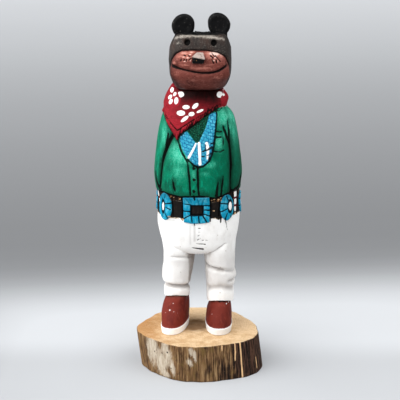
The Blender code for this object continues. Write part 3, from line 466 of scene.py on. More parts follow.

# The hood's upper rim, worn and with a painted highlight along it, the top of the head, and the belt's chips
# and the shoes' specks as (distance round, height, radius)
HOOD_RIM = [
    (-26.4, 249.6), (-14.8, 252.0), (-6.0, 252.6), (2.0, 252.3), (9.9, 251.5), (17.5, 250.4),
    (20.5, 249.6),
]
HOOD_RIM_WIDTH = 1.4
HEAD_TOP = 252.7
CHIPS = [
    (-13.4, 101.8, 0.9), (-25.4, 103.4, 0.6), (13.2, 119.3, 0.5), (17.4, 118.9, 0.7), (10.9, 118.6, 0.4),
    (-21.4, 120.4, 0.35), (-15.6, 119.6, 0.5), (12.6, 109.4, 0.5), (19.4, 120.2, 0.35), (34.6, 104.4, 0.9),
]
CHIP_STRETCH = 1.7
SHOE_SPECKS = {
    "left_leg": [
        (0.3, 24.3, 0.55), (-1.1, 19.3, 0.65), (-4.9, 17.0, 0.35), (2.6, 18.5, 0.3), (6.4, 17.4, 0.3),
        (15.7, 14.0, 0.35),
    ],
    "right_leg": [
        (-7.7, 15.7, 0.5), (6.0, 23.5, 0.5), (9.0, 23.8, 0.5), (11.5, 23.7, 0.4), (-9.0, 23.2, 0.45),
    ],
}

# Measures of the relief. CUT is how softly a carved step rises, from outside its line to inside it
CUT = (-0.3, 0.6)
JAW_HEIGHT = 208.4
CHIN_RISE = (211.0, 223.0)
FACE_BULGE = 3.2
FACE_BULGE_EDGE = 7.0
HOOD_LIP = 0.8
HOOD_LIP_RISE = (226.0, 234.0)
MOUTH_DEPTH = 1.3
MOUTH_HALF_WIDTH = 1.1
EYE_DEPTH = 3.0
SCARF_THICKNESS = 1.7
NECKLACE_THICKNESS = 0.8
SHIRT_OVER_BELT = 0.9
SHIRT_TURN = 6.0
SILVER_THICKNESS = 1.5
ARM_FULLNESS = 1.0
ARM_FRONT = (29.0, 44.0)
ARM_BACK = (66.0, 55.0)
SHOULDER = (185.0, 165.0)

# The finer knife work: how deep the painted lines are cut, and the unevenness that the knife left
STONE_CUT = 0.45
CREASE_CUT_SHARE = 0.5
FRINGE_CUT = 0.3
NICK_CUT = 0.5
STITCH_CUT = 0.2
LINE_EDGE = (-0.35, 0.3)
FACET_DEPTH = 0.22
FACET_SIZE = (5.0, 9.0)
HOOD_FACET_SIZE = (2.2, 9.0)
FRINGE_SPACING = 2.3
FRINGE_LENGTH = 5.2
FRINGE_LEAN = 0.45

# The lines of ink: how much wider a loaded brush makes them, and for those that follow an edge their
# half width and how far from that edge they run. The scarf's is thinner away from its front.
INK_WEIGHT = 1.22
SCARF_HEM_INK, SCARF_HEM_AWAY = 0.42, 0.35
SCARF_FRONT = (-32.0, 34.0)
SCARF_BACK_THINNER = 0.2
HOOD_INK, HOOD_INK_AWAY = 0.55, 0.3
SHIRT_HEM_INK, SHIRT_HEM_AWAY = 0.9, 0.1
RING_INK, RING_AWAY = 0.55, 0.5
EYE_INK_INSET = 0.05

# Where the hood's edge, the face's underside and the shoes' soles end, as heights, and the distances
# to an area's edge that stand for well inside it and far outside it
HOOD_EDGE_FOOT = 214.0
FACE_FOOT, FACE_UNDERSIDE = 210.0, 203.0
SOLE_TOP = 5.7
WELL_INSIDE, FAR = 3.0, 30.0

# Painted shade beside what stands out, as (strength, reach), and the bounds of the scarf's
JAW_SHADE = (0.6, 3.5)
HOOD_SHADE = (0.16, 1.3)
SCARF_SHADE = (0.5, 2.2)
SCARF_SHADE_FOOT = 160.0
SCARF_SHADE_SIDE = (17.0, 11.0)
CREASE_SHADE = 0.72

# The shade under the chin as (height, strength), the lean of its edge, and its soft ends on each side
CHIN_SHADE = [
    (183.0, 0.0), (188.0, 0.28), (193.0, 0.42), (196.4, 0.52), (198.0, 0.66), (199.6, 0.79), (201.3, 0.91),
    (203.0, 0.965), (205.0, 1.0),
]
CHIN_SHADE_LEAN, CHIN_SHADE_LEAN_END = 0.16, 15.0
CHIN_SHADE_SIDES = (-30.0, -9.0), (30.0, 12.0)

# The shirt's painted shade on its right side, from its start to its full strength. On the legs, painted
# shade: in folds, on the inner sides, over the whole leg and its shoe, and at the ankles
SHIRT_SHADE_START, SHIRT_SHADE_END = -2.0, 34.0
FOLD_SHADE, FOLD_SHADE_MOST = 0.2, 0.42
INNER_SHADE = {"left_leg": 0.5, "right_leg": 0.2}
INNER_EDGE, INNER_TOP, INNER_SLANT = 6.5, 73.0, 0.2
INNER_SOFT = (-1.2, 1.6)
LEG_SHADE = {"left_leg": 0.15, "right_leg": 0.19}
SHOE_SHADE = {"left_leg": 0.0, "right_leg": 0.17}
ANKLE_SHADE = 0.35

# Heights above the log's foot in millimetres, as (from, to): where plain stone gives way to the
# necklace's rows, and where the trousers start and end for the browner painted shade in their folds
CHEST = (160.0, 170.0)
TROUSERS_FOOT, TROUSERS_TOP = (56.0, 62.0), (133.0, 128.0)

# The relief of the paint and of the log's wood, in metres
PAINT_RELIEF = 0.00016
WOOD_RELIEF = 0.00035

# The log's outline as (degrees round from the front, radius), brought to its width and depth,
# its ripples as (share of the radius, count, start) and its wider foot as (degrees, half width, share)
LOG_OUTLINE = [
    (2, 48.0), (22, 48.2), (34, 49.5), (43, 51.7), (52, 54.3), (60, 55.3), (70, 55.0), (80, 53.9),
    (96, 52.2), (108, 50.1), (122, 49.5), (136, 50.4), (165, 50.1), (178, 50.6), (207, 50.9),
    (225, 50.8), (239, 48.9), (253, 50.6), (275, 53.3), (281, 53.3), (290, 51.3), (299, 49.6),
    (308, 48.2), (325, 48.2), (342, 49.0), (350, 48.5),
]
LOG_RIPPLES = [(0.006, 11, 0.4), (0.004, 23, 2.1)]
LOG_FLARE = (313, 24, 0.025)
LOG_COLUMNS = 480
LOG_SIDE_RINGS = 46
LOG_TOP_RINGS = 44

# Marks on the log's side, heights in millimetres: areas of bare grey wood as (degrees, height, half
# width in degrees, half height), how much bark is left as (degrees, share), knots as (degrees,
# height, radius), and the splits, where pale wood shows, as lines of (degrees, height, half width)
GREY_PATCHES = [
    (306.0, 22.0, 9.0, 14.0), (316.0, 14.0, 9.0, 13.0), (325.0, 22.0, 7.0, 12.0), (331.0, 12.0, 3.0, 8.0),
    (320.0, 4.0, 7.0, 4.0), (353.0, 27.0, 2.6, 4.5), (356.0, 24.0, 2.2, 5.0), (350.0, 17.5, 3.0, 4.0),
]
BARK = [
    (0.0, 0.12), (8.0, 0.44), (20.0, 0.5), (33.0, 0.46), (40.0, 0.8), (46.0, 1.0), (96.0, 1.0), (112.0, 0.55),
    (150.0, 0.25), (205.0, 0.8), (238.0, 0.3), (262.0, 0.1), (280.0, 0.2), (296.0, 0.0),
]
KNOTS = [(308.8, 20.9, 0.9), (327.2, 24.1, 1.0), (329.4, 10.4, 0.7), (355.0, 21.0, 0.7), (336.0, 6.0, 0.6)]
SPLITS = [
    [(38.9, 31.6, 0.5), (38.4, 24.3, 0.6), (37.2, 16.4, 0.35)],
    [(43.9, 31.8, 0.7), (43.5, 22.1, 0.6), (42.8, 11.8, 0.55), (42.0, 0.0, 0.7)],
    [(60.8, 14.6, 0.4), (60.4, 4.6, 0.5)], [(25.6, 30.6, 0.6), (25.0, 26.0, 0.3)],
    [(122.0, 31.0, 0.5), (120.5, 8.0, 0.4)], [(214.0, 31.0, 0.6), (212.0, 2.0, 0.5)],
]

# How steeply the grey wood ends, a knot's width to its height, the log's rough radius and, from it,
# the millimetres round its side in one degree
GREY_FADE = 4.0
KNOT_STRETCH = 0.8
LOG_ROUND = 50.0
DEGREE = math.radians(1) * LOG_ROUND

# The rings' heart, the dark patch on the sawn top (partly a stain, partly a painted shadow of the legs), how
# deep the bark and the saw's marks are in millimetres, the torn fibres: how many to a square metre, their
# size in metres and their way
LOG_HEART = (-6.0, 8.0)
STAIN_AND_SHADOW_PLACE = (-2.0, 3.0, 32.0)
STAIN_AND_SHADOW_EDGE, STAIN_AND_SHADOW_CORE = 19.0, 8.0
RIDGE_DEPTH = 0.5
BARK_DEPTH = 0.9
SPLIT_LIFT = 0.2
KNOT_DEPTH = 0.7
SAW_DEPTH = 0.28
SAW_SPACING = 1.9
SAW_ANGLE = math.radians(24)
FIBRES = {"Density": 300000.0, "Length": 0.0008, "Width": 0.00014, "Seed": 2, "Grain": SAW_ANGLE + 0.5}

# The wedge nose as corners (x, y, height), seen from the front: top, lip and underside
NOSE = [
    (-2.4, -26.0, 241.2), (2.6, -26.0, 240.9),
    (-6.5, -34.4, 238.6), (4.3, -34.4, 236.6),
    (-6.4, -31.8, 232.5), (2.8, -31.8, 232.2),
    (-6.4, -24.0, 232.5), (2.8, -24.0, 232.2),
]
NOSE_FACES = [(0, 2, 3, 1), (2, 4, 5, 3), (4, 6, 7, 5), (0, 1, 7, 6), (0, 6, 4, 2), (1, 3, 5, 7)]
NOSE_BEVEL = 0.8
NOSE_LIP = 236.9
NOSE_LIP_PLACE = (0.5, -34.6)

# The ears as (x, height of the disc's centre, its radius, half width of the foot, lean of the tip)
EARS = [(-13.8, 259.9, 9.4, 7.6, 0.9), (15.7, 261.0, 9.2, 6.8, -1.6)]
EAR_FOOT_HEIGHT = 247.0
EAR_BACK, EAR_FRONT = 1.5, -5.5
EAR_EDGE_ROUND = 2.2
EAR_ARC = math.radians(140)
EAR_LOWER_FULLNESS = 0.72
EAR_POINTS = 84
EAR_LAYERS = 17
EAR_DISH = 0.5
EAR_DISH_RINGS = 7

# The rough black chips between the ears: the ends of their row in the bear's own units, their number,
# size in metres and raggedness, and the least and the greatest share of the size along each axis
TUFT_ENDS = [(-6.4, -9.5, 254.0), (8.0, -9.5, 253.8)]
TUFT_COUNT = 15
TUFT_SIZE = 0.0017
TUFT_RAGGED = 0.22
TUFT_SHARES = (0.45, 0.5, 0.55), (0.95, 1.0, 1.35)
TUFT_SEED = 3

# The camera, in the photograph's place
CAMERA_PLACE = (0.0002, -0.9501, 0.3871)
CAMERA_DOWN = 0.24933
CAMERA_LENS = 104.19
CAMERA_SENSOR = 36.0

# The lights as (name, turn from the front towards the right, rise, width of the soft light, strength)
LIGHTS = [
    ("left_softbox", -98, 22, 70, 1.9), ("window", -40, 24, 55, 1.9), ("upper_softbox", -58, 52, 60, 2.1),
    ("right_softbox", 55, 46, 60, 2.0), ("right_rim", 112, 35, 40, 0.7),
]
AIR_LIGHT = 0.04

# The backdrop's grey as (metres from the object's middle, grey), a painted fall of light, how it leans to the
# right, the tint of its paper, how much nearer and how square it stands at the sides, how much of it is its
# own glow, a painted light, the share of light that the floor sends back, and the painted shade on the floor
# in front as (strength, from, to)
BACKDROP = [
    (0.000, 0.850), (0.059, 0.853), (0.096, 0.863), (0.136, 0.837), (0.166, 0.735), (0.198, 0.585),
    (0.231, 0.445), (0.260, 0.362), (0.289, 0.313), (0.327, 0.288), (0.377, 0.276), (0.467, 0.278),
    (0.570, 0.292), (0.688, 0.311), (0.824, 0.330), (0.984, 0.354), (1.173, 0.384), (1.401, 0.414),
    (1.682, 0.456), (2.034, 0.506), (2.492, 0.560), (3.109, 0.610), (3.986, 0.664), (8.900, 0.740),
]
BACKDROP_TILT = 0.11
PAPER_TINT = (0.97, 1.0, 1.04, 1.0)
BACKDROP_NARROWING = 0.72
BACKDROP_SQUARENESS = 6.0
BACKDROP_GLOW = 0.25
FLOOR_SHARE = 0.5
FRONT_SHADE, FRONT_SHADE_FROM, FRONT_SHADE_TO = 0.17, 0.055, -0.01
FLOOR_HALF = 9.0


def smooth_curve(knots, values, at):
    """Values on a smooth curve through the knots that never overshoots them."""
    knots = np.asarray(knots, float)
    values = np.asarray(values, float)
    step = np.diff(knots)
    slope = np.diff(values) / step
    tangent = np.zeros(len(knots))
    tangent[0], tangent[-1] = slope[0], slope[-1]
    for k in range(1, len(knots) - 1):
        if slope[k - 1] * slope[k] > 0:
            before = 2 * step[k] + step[k - 1]
            after = step[k] + 2 * step[k - 1]
            tangent[k] = (before + after) / (before / slope[k - 1] + after / slope[k])
    k = np.clip(np.searchsorted(knots, at, side="right") - 1, 0, len(step) - 1)
    t = (at - knots[k]) / step[k]
    start = (1 + 2 * t) * (1 - t) ** 2 * values[k] + t * (1 - t) ** 2 * step[k] * tangent[k]
    end = t * t * (3 - 2 * t) * values[k + 1] + t * t * (t - 1) * step[k] * tangent[k + 1]
    return start + end


def ramp(value, low, high):
    """0 at low and 1 at high, smooth between them and level beyond. Low may be the greater."""
    t = np.clip((value - low) / (high - low), 0, 1)
    return t * t * (3 - 2 * t)


def bell(distance, half_width):
    """1 at no distance, falling off smoothly to either side."""
    return np.exp(-((distance / half_width) ** 2))


def line_distance(across, height, line):
    """Distance of each point from a line with corners."""
    nearest = np.full(across.shape, np.inf)
    for (a0, h0), (a1, h1) in zip(line[:-1], line[1:]):
        run, rise = a1 - a0, h1 - h0
        t = np.clip(((across - a0) * run + (height - h0) * rise) / (run * run + rise * rise), 0, 1)
        nearest = np.minimum(nearest, np.hypot(across - a0 - t * run, height - h0 - t * rise))
    return nearest


def strokes(across, height, lines):
    """How deep each point lies inside the nearest of some strokes, lines that widen and narrow."""
    deepest = np.full(across.shape, -FAR)
    for line in lines:
        for (a0, h0, w0), (a1, h1, w1) in zip(line[:-1], line[1:]):
            run, rise = a1 - a0, h1 - h0
            t = ((across - a0) * run + (height - h0) * rise) / (run * run + rise * rise)
            t = np.clip(t, 0, 1)
            away = np.hypot(across - a0 - t * run, height - h0 - t * rise)
            deepest = np.maximum(deepest, w0 + (w1 - w0) * t - away)
    return deepest


def inside_distance(across, height, outline):
    """How deep each point lies inside a closed outline, negative outside it."""
    inside = np.zeros(across.shape, bool)
    for (a0, h0), (a1, h1) in zip(outline, outline[1:] + outline[:1]):
        if h0 != h1:
            crossing = a0 + (height - h0) / (h1 - h0) * (a1 - a0)
            inside ^= ((h0 > height) != (h1 > height)) & (across < crossing)
    distance = line_distance(across, height, outline + outline[:1])
    return np.where(inside, distance, -distance)


def oval_inside(across, height, centre, half_width, half_height):
    """Roughly how deep each point lies inside an upright oval, negative outside it."""
    share = np.hypot((across - centre[0]) / half_width, (height - centre[1]) / half_height)
    return (1 - share) * min(half_width, half_height)


def height_over(across, height, line):
    """How far each point lies above a line that runs from left to right."""
    corners = np.array(line)
    return height - np.interp(across, corners[:, 0], corners[:, 1])


def grooves(across, height, lines):
    return sum(-depth * bell(line_distance(across, height, line), width) for depth, width, line in lines)


def rough(*places, sizes, seed):
    """Even noise about 0 over the points, with swells of the sizes given along each axis."""
    flat = [place.ravel() / size for place, size in zip(places, sizes)]
    flat += [np.zeros(flat[0].shape)] * (2 - len(flat)) + [np.full(flat[0].shape, float(seed))]
    values = [noise.noise(Vector(point)) for point in zip(*(column.tolist() for column in flat))]
    return np.array(values).reshape(places[0].shape)


def head_relief(across, height):
    """Muzzle swelling out under the hood's edge, mouth and drilled eyes."""
    depth = inside_distance(across, height, FACE)
    lift = FACE_BULGE * ramp(depth, 0, FACE_BULGE_EDGE) * ramp(height, *CHIN_RISE)
    lift = lift + HOOD_LIP * ramp(-depth, *CUT) * ramp(height, *HOOD_LIP_RISE)
    mouth = [(a, h) for a, h, _ in MOUTH]
    lift = lift - MOUTH_DEPTH * bell(line_distance(across, height, mouth), MOUTH_HALF_WIDTH)
    for a, h in EYES:
        lift = lift - EYE_DEPTH * ramp(EYE_RADIUS - np.hypot(across - a, height - h), *CUT)
    return lift * ramp(height - JAW_HEIGHT, *CUT)


def scarf_relief(across, height):
    return SCARF_THICKNESS * ramp(inside_distance(across, height, SCARF), *CUT)


def shirt_relief(across, height):
    """Sleeves set off by knife grooves, the placket, the pocket and the hem over the belt."""
    over_hem = height_over(across, height - BELT_MIDDLE, HEM)
    covered = ramp(over_hem, *CUT) * ramp(JAW_HEIGHT - height, *CUT)
    round_it = np.abs(across)
    arm = ramp(round_it, *ARM_FRONT) * ramp(round_it, *ARM_BACK) * ramp(height, *SHOULDER)
    lift = SHIRT_OVER_BELT * bell(over_hem, SHIRT_TURN) * (1 - arm) + ARM_FULLNESS * arm
    lift = lift + grooves(across, height, ARM_GROOVES) + grooves(across, height, SHIRT_GROOVES)
    return lift * covered


def necklace_relief(across, height):
    return NECKLACE_THICKNESS * ramp(inside_distance(across, height, NECKLACE), *CUT)


def silver_inside(across, height):
    """How deep each point lies inside the buckle's frame or a plate of the belt."""
    level = height - BELT_MIDDLE
    frame = np.minimum(
        inside_distance(across, level, BUCKLE), -inside_distance(across, level, BUCKLE_HOLE)
    )
    for a, half_width, half_height in CONCHOS:
        frame = np.maximum(frame, oval_inside(across, level, (a, 0.0), half_width, half_height))
    return frame


def body_relief(across, height):
    """All the carving on the block: the scarf covers the shirt and the necklace under it."""
    scarf = scarf_relief(across, height)
    under = shirt_relief(across, height) + necklace_relief(across, height)
    covered = scarf / SCARF_THICKNESS
    silver = SILVER_THICKNESS * ramp(silver_inside(across, height), *CUT)
    creases = grooves(across, height, CROTCH_GROOVES)
    return under * (1 - covered) + scarf + silver + head_relief(across, height) + creases


def fringe_strokes():
    """Knife cuts all along the scarf's hem, leaning towards its tip."""
    chance = np.random.default_rng(4)
    corners = np.array(SCARF_HEM)
    along = np.concatenate([[0], np.cumsum(np.hypot(*np.diff(corners, axis=0).T))])
    lines = []
    for place in np.arange(FRINGE_SPACING, along[-1], FRINGE_SPACING):
        place = place + chance.uniform(-0.7, 0.7)
        a, h = (np.interp(place, along, corners[:, k]) for k in range(2))
        lean = FRINGE_LEAN * np.clip((a - SCARF_TIP) / 6, -0.8, 1) * (abs(a) < 34)
        length = FRINGE_LENGTH * chance.uniform(0.55, 1.0)
        top = (a + lean * length, h + length, 0.12)
        lines.append([top, ((a + top[0]) / 2 + chance.uniform(-0.3, 0.3), h + length / 2, 0.3), (a, h, 0.42)])
    return lines


def plate_strokes():
    """The cuts between the stones of the plates at the belt's sides and back."""
    lines = []
    for a, half_width, half_height in CONCHOS[len(FRONT_OVALS) :]:
        for turn in np.arange(PLATE_CUTS) * 2 * math.pi / PLATE_CUTS + 0.3:
            side, rise = math.sin(turn), math.cos(turn)
            inner = (a + side * (BACK_OVAL[0] + 1), BELT_MIDDLE + rise * (BACK_OVAL[1] + 0.9), 0.35)
            outer = (a + side * half_width * 0.96, BELT_MIDDLE + rise * half_height * 0.96, 0.5)
            lines.append([inner, outer])
    return lines


def heavier(lines):
    """Painted lines with the weight that a loaded brush gives them."""
    return [[(a, h, width * INK_WEIGHT) for a, h, width in line] for line in lines]


def ovals():
    """Every white oval on the belt's plates, as (centre, half width, half height)."""
    front = [((a, h), wide, tall) for a, h, wide, tall in FRONT_OVALS]
    back = [((a, BELT_MIDDLE), *BACK_OVAL) for a, _, _ in CONCHOS[len(FRONT_OVALS) :]]
    return front + back


def all_dabs():
    """Every dab, those on the back set in rings, each after the turn of the side that it faces."""
    dabs = [(0.0, *dab) for dab in SCARF_DABS]
    for turn, middle in BACK_FLOWERS:
        for petal in range(FLOWER_PETALS):
            angle = petal * 2 * math.pi / FLOWER_PETALS + turn
            swing = math.radians(turn) + FLOWER_RADIUS * math.cos(angle) / COLLAR_RADIUS
            x = COLLAR_MIDDLE[0] + COLLAR_REACH[0] * math.sin(swing)
            y = COLLAR_MIDDLE[1] - COLLAR_REACH[1] * math.cos(swing)
            height = middle + FLOWER_RADIUS * FLOWER_SQUASH * math.sin(angle)
            dabs.append((math.radians(turn), x, y, height, *PETAL, math.degrees(angle)))
    return dabs


def dabs_inside(points):
    """How deep each point lies inside a white dab on the scarf, as the dab's side is seen."""
    deepest = np.full(points.shape[:2], -FAR)
    for facing, x, y, height, half_width, half_height, tilt in all_dabs():
        away = points - np.array([x, y, height])
        out = away[:, :, 0] * math.sin(facing) - away[:, :, 1] * math.cos(facing)
        right = away[:, :, 0] * math.cos(facing) + away[:, :, 1] * math.sin(facing)
        up = away[:, :, 2] * math.cos(CAMERA_DOWN) - out * math.sin(CAMERA_DOWN)
        lean = math.radians(tilt)
        length = right * math.cos(lean) + up * math.sin(lean)
        breadth = up * math.cos(lean) - right * math.sin(lean)
        inside = (1 - np.hypot(length / half_width, breadth / half_height)) * min(half_width, half_height)
        deepest = np.maximum(deepest, np.where(np.abs(out) < DAB_DEPTH, inside, -FAR))
    return deepest


AREAS = [
    "hood", "face", "black", "shirt", "opening", "scarf", "stone", "white", "red", "ink",
    "leather", "strip", "shoe", "sole", "pale", "dusk", "chip", "known",
]
SHADES = ("pale", "dusk")
TUFT_AREAS = ("hood", "black", "known")


def plain_areas(shape):
    """No painted area anywhere on a form."""
    areas = {name: np.full(shape, -FAR) for name in AREAS}
    for name in SHADES:
        areas[name] = np.zeros(shape)
    areas["known"] = np.ones(shape)
    return areas


# The strength of the nearest soft spot at each point; here the pale spots, mostly painted highlights
def spots(across, height, table):
    lighter_share = np.zeros(across.shape)
    for strength, a, h, half_width, half_height in table:
        apart = np.hypot((across - a) / half_width, (height - h) / half_height)
        lighter_share = np.maximum(lighter_share, strength * bell(apart, 1))
    return lighter_share


def round_spots(across, height, table, stretch):
    """How deep each point lies inside a round spot, stretched sideways."""
    deepest = np.full(across.shape, -FAR)
    for a, h, radius in table:
        deepest = np.maximum(deepest, radius - np.hypot((across - a) / stretch, height - h))
    return deepest


def white_and_rings(across, height, points, scarf):
    """The white lines, beads, ovals and dabs, and the thin ring round each oval."""
    white = strokes(across, height, NECKLACE_WHITE + BEADS_WHITE)
    rings = np.full(across.shape, -FAR)
    for centre, half_width, half_height in ovals():
        oval = oval_inside(across, height, centre, half_width, half_height)
        white = np.maximum(white, oval)
        rings = np.maximum(rings, RING_INK - np.abs(oval + RING_AWAY))
    return np.maximum(white, np.where(scarf > 0, dabs_inside(points), -FAR)), rings


def ink_lines(across, height, edges, stone, rings):
    """How deep each point lies inside the ink and the cuts, for each kind of them."""
    scarf = edges["scarf"]
    scarf_hem = SCARF_HEM_INK - np.abs(scarf + SCARF_HEM_AWAY)
    at_back = (across <= SCARF_FRONT[0]) | (across >= SCARF_FRONT[1])
    shirt = strokes(across, height, heavier(SHIRT_INK + NECKLACE_INK))
    for a, h in BUTTONS:
        button = inside_distance(across, height, [(a + da, h + dh) for da, dh in BUTTON_SHAPE])
        shirt = np.maximum(shirt, button)
    stone_cuts = strokes(across, height, heavier(BUCKLE_INK + PLATE_INK + plate_strokes()))
    hood_edge = HOOD_INK - np.abs(edges["face"] - HOOD_INK_AWAY)
    shirt_hem = SHIRT_HEM_INK - np.abs(edges["hem"] + SHIRT_HEM_AWAY)
    eyes = [(a, h, EYE_RADIUS - EYE_INK_INSET) for a, h in EYES]
    return {
        "fringe": np.where(scarf > -0.6, strokes(across, height, fringe_strokes()), -FAR),
        "fold": strokes(across, height, [SCARF_FOLD]),
        "scarf_hem": scarf_hem - SCARF_BACK_THINNER * at_back,
        "stone": np.maximum(stone_cuts, rings),
        "whiskers": strokes(across, height, heavier(WHISKERS)),
        "stitches": strokes(across, height, heavier(TROUSER_INK)),
        "hood": np.where(height > HOOD_EDGE_FOOT, hood_edge, -FAR),
        "shirt": np.where(scarf > 0.4, -FAR, shirt),
        "shirt_hem": np.where(stone > 0, -FAR, shirt_hem),
        "mouth_and_belt": strokes(across, height, [MOUTH] + BELT_SIDE_INK),
        "eyes": round_spots(across, height, eyes, 1.0),
    }


def cast_shade(distance, shade):
    """Painted shade beside an edge: its strength there, and how far it reaches."""
    strength, reach = shade
    return strength * bell(distance, reach)


def body_painted_shade(across, height, edges, creases):
    """The painted shade in folds, under the chin and beside whatever stands out."""
    scarf, face, over_jaw = edges["scarf"], edges["face"], edges["jaw"]
    lean = np.clip(across, 0, CHIN_SHADE_LEAN_END) * CHIN_SHADE_LEAN
    under_chin = np.interp(height + lean, *zip(*CHIN_SHADE))
    for outer, inner in CHIN_SHADE_SIDES:
        under_chin = under_chin * ramp(across, outer, inner)
    beside_scarf = (scarf < 0) & (height > SCARF_SHADE_FOOT)
    beside_hood = (face > 0) & (height > HOOD_EDGE_FOOT)
    shades = [
        strength * bell(line_distance(across, height, line), half_width)
        for strength, half_width, line in PAINTED_SHADE_LINES
    ]
    shades += [
        CREASE_SHADE * ramp(creases, *LINE_EDGE),
        under_chin * (scarf > 0) * (over_jaw < 0),
        cast_shade(over_jaw, JAW_SHADE) * (over_jaw > 0),
        cast_shade(scarf, SCARF_SHADE) * beside_scarf * ramp(across, *SCARF_SHADE_SIDE),
        cast_shade(face, HOOD_SHADE) * beside_hood,
    ]
    return np.maximum.reduce(shades)


def body_areas(across, height, points):
    """Where each paint lies on the body and the head, and how deep its lines are cut."""
    areas = plain_areas(across.shape)
    under_jaw = [(a, h if h > FACE_FOOT else FACE_UNDERSIDE) for a, h in FACE]
    edges = {
        "face": inside_distance(across, height, under_jaw),
        "scarf": inside_distance(across, height, SCARF),
        "hem": height_over(across, height - BELT_MIDDLE, HEM),
        "jaw": height - JAW_HEIGHT,
    }
    over_leather = height_over(across, height, LEATHER_TOP)
    opening = inside_distance(across, height, NECK_OPENING)
    areas["hood"] = edges["jaw"] + 0.3
    areas["face"] = np.minimum(edges["face"], edges["jaw"] + 0.6)
    areas["black"] = height - HEAD_TOP
    areas["shirt"] = np.minimum(edges["hem"], -edges["jaw"])
    areas["opening"] = opening
    areas["scarf"] = edges["scarf"]
    areas["leather"] = np.minimum(-over_leather, height_over(across, height, WAIST))
    areas["strip"] = np.minimum(-edges["hem"], over_leather)
    necklace = np.minimum(inside_distance(across, height, NECKLACE), -opening)
    necklace = np.minimum(necklace, -edges["scarf"])
    areas["stone"] = np.maximum(necklace, silver_inside(across, height))
    areas["white"], rings = white_and_rings(across, height, points, edges["scarf"])
    areas["red"] = strokes(across, height, BEADS_RED)
    lines = ink_lines(across, height, edges, areas["stone"], rings)
    areas["ink"] = np.maximum.reduce(list(lines.values()))
    creases = strokes(across, height, BUCKLE_CREASES)
    areas["dusk"] = body_painted_shade(across, height, edges, creases)
    # Pale along the hood's rim and in the pale spots: some wear, and painted highlights
    rim = bell(line_distance(across, height, HOOD_RIM), HOOD_RIM_WIDTH)
    areas["pale"] = np.maximum(rim, spots(across, height, PALE_SPOTS))
    areas["chip"] = round_spots(across, height, CHIPS, CHIP_STRETCH)
    cuts = [
        (STONE_CUT, lines["stone"]), (STONE_CUT * CREASE_CUT_SHARE, creases),
        (FRINGE_CUT, np.maximum(lines["fringe"], lines["fold"])),
        (NICK_CUT, lines["whiskers"]), (STITCH_CUT, lines["stitches"]),
    ]
    return areas, sum(-depth * ramp(line, *LINE_EDGE) for depth, line in cuts)


def ring_places(path, height, fine):
    """Places along a form's side where its rings go, closer together in the fine bands."""
    at = np.linspace(0, path[-1], 4000)
    level = smooth_curve(path, height, at)
    step = np.full(at.shape, fine[0])
    for low, high in fine[2]:
        step[(level > low) & (level < high)] = fine[1]
    count = np.concatenate([[0], np.cumsum(np.diff(at) / step[1:])])
    return np.interp(np.linspace(0, count[-1], int(round(count[-1])) + 1), count, at)


def loft_grid(rows, columns, fine):
    """Rings of points through the rows: x, y, height, and distance round from the front."""
    even = np.linspace(-math.pi, math.pi, columns + 1)[:-1]
    angles = even - FRONT_SHARE * np.sin(even)
    rows = np.array(rows, float)
    size = (rows[:, 2] - rows[:, 1] + rows[:, 4] - rows[:, 3]) / 4
    path = np.concatenate([[0], np.cumsum(np.hypot(np.diff(rows[:, 0]), np.diff(size)))])
    at = ring_places(path, rows[:, 0], fine)
    height, left, right, front, back, square = (
        smooth_curve(path, rows[:, k], at)[:, None] for k in range(6)
    )
    side, ahead = np.sin(angles)[None, :], np.cos(angles)[None, :]
    reach = (np.abs(side) ** square + np.abs(ahead) ** square) ** (-1 / square)
    x = (left + right) / 2 + (right - left) / 2 * side * reach
    y = (front + back) / 2 - (back - front) / 2 * ahead * reach
    height = np.broadcast_to(height, x.shape).copy()
    stride = np.hypot(np.diff(x, axis=1), np.diff(y, axis=1))
    round_it = np.concatenate([np.zeros((len(at), 1)), np.cumsum(stride, axis=1)], axis=1)
    front_column = int(np.argmin(np.abs(angles)))
    return x, y, height, round_it - round_it[:, front_column : front_column + 1]


def raised(x, y, height, lift):
    """The grid's points moved out along its surface by lift."""
    points = np.stack([x, y, height], axis=2)
    along = np.roll(points, -1, axis=1) - np.roll(points, 1, axis=1)
    up = np.gradient(points, axis=0)
    normal = np.cross(along, up)
    normal /= np.maximum(np.linalg.norm(normal, axis=2, keepdims=True), 1e-9)
    return points + normal * lift[:, :, None]


def in_place(points):
    """From the bear's own units to metres, standing on the log."""
    return points * UNIT + np.array(STANDING_PLACE)


def grid_faces(rings, columns):
    """The faces between rings of points, with a flat face at each end."""
    faces = [tuple(reversed(range(columns)))]
    for ring in range(rings - 1):
        low, high = ring * columns, (ring + 1) * columns
        for column in range(columns):
            after = (column + 1) % columns
            faces.append((low + column, low + after, high + after, high + column))
    faces.append(tuple(range((rings - 1) * columns, rings * columns)))
    return faces


def keep_values(mesh, values):
    """Keeps one number a point for each name."""
    for name, array in values.items():
        attribute = mesh.attributes.new(name, "FLOAT", "POINT")
        attribute.data.foreach_set("value", np.ravel(array).astype(np.float32))


def grid_object(name, points, values):
    """A closed form over rings of points, in metres."""
    mesh = bpy.data.meshes.new(name)
    mesh.from_pydata(points.reshape(-1, 3).tolist(), [], grid_faces(*points.shape[:2]))
    mesh.update()
    keep_values(mesh, values)
    return add_object(name, mesh)


def add_object(name, mesh):
    obj = bpy.data.objects.new(name, mesh)
    bpy.context.scene.collection.objects.link(obj)
    return obj


def facets(across, height, size, seed):
    """The slight unevenness that a knife leaves."""
    return FACET_DEPTH * rough(across, height, sizes=size, seed=seed)


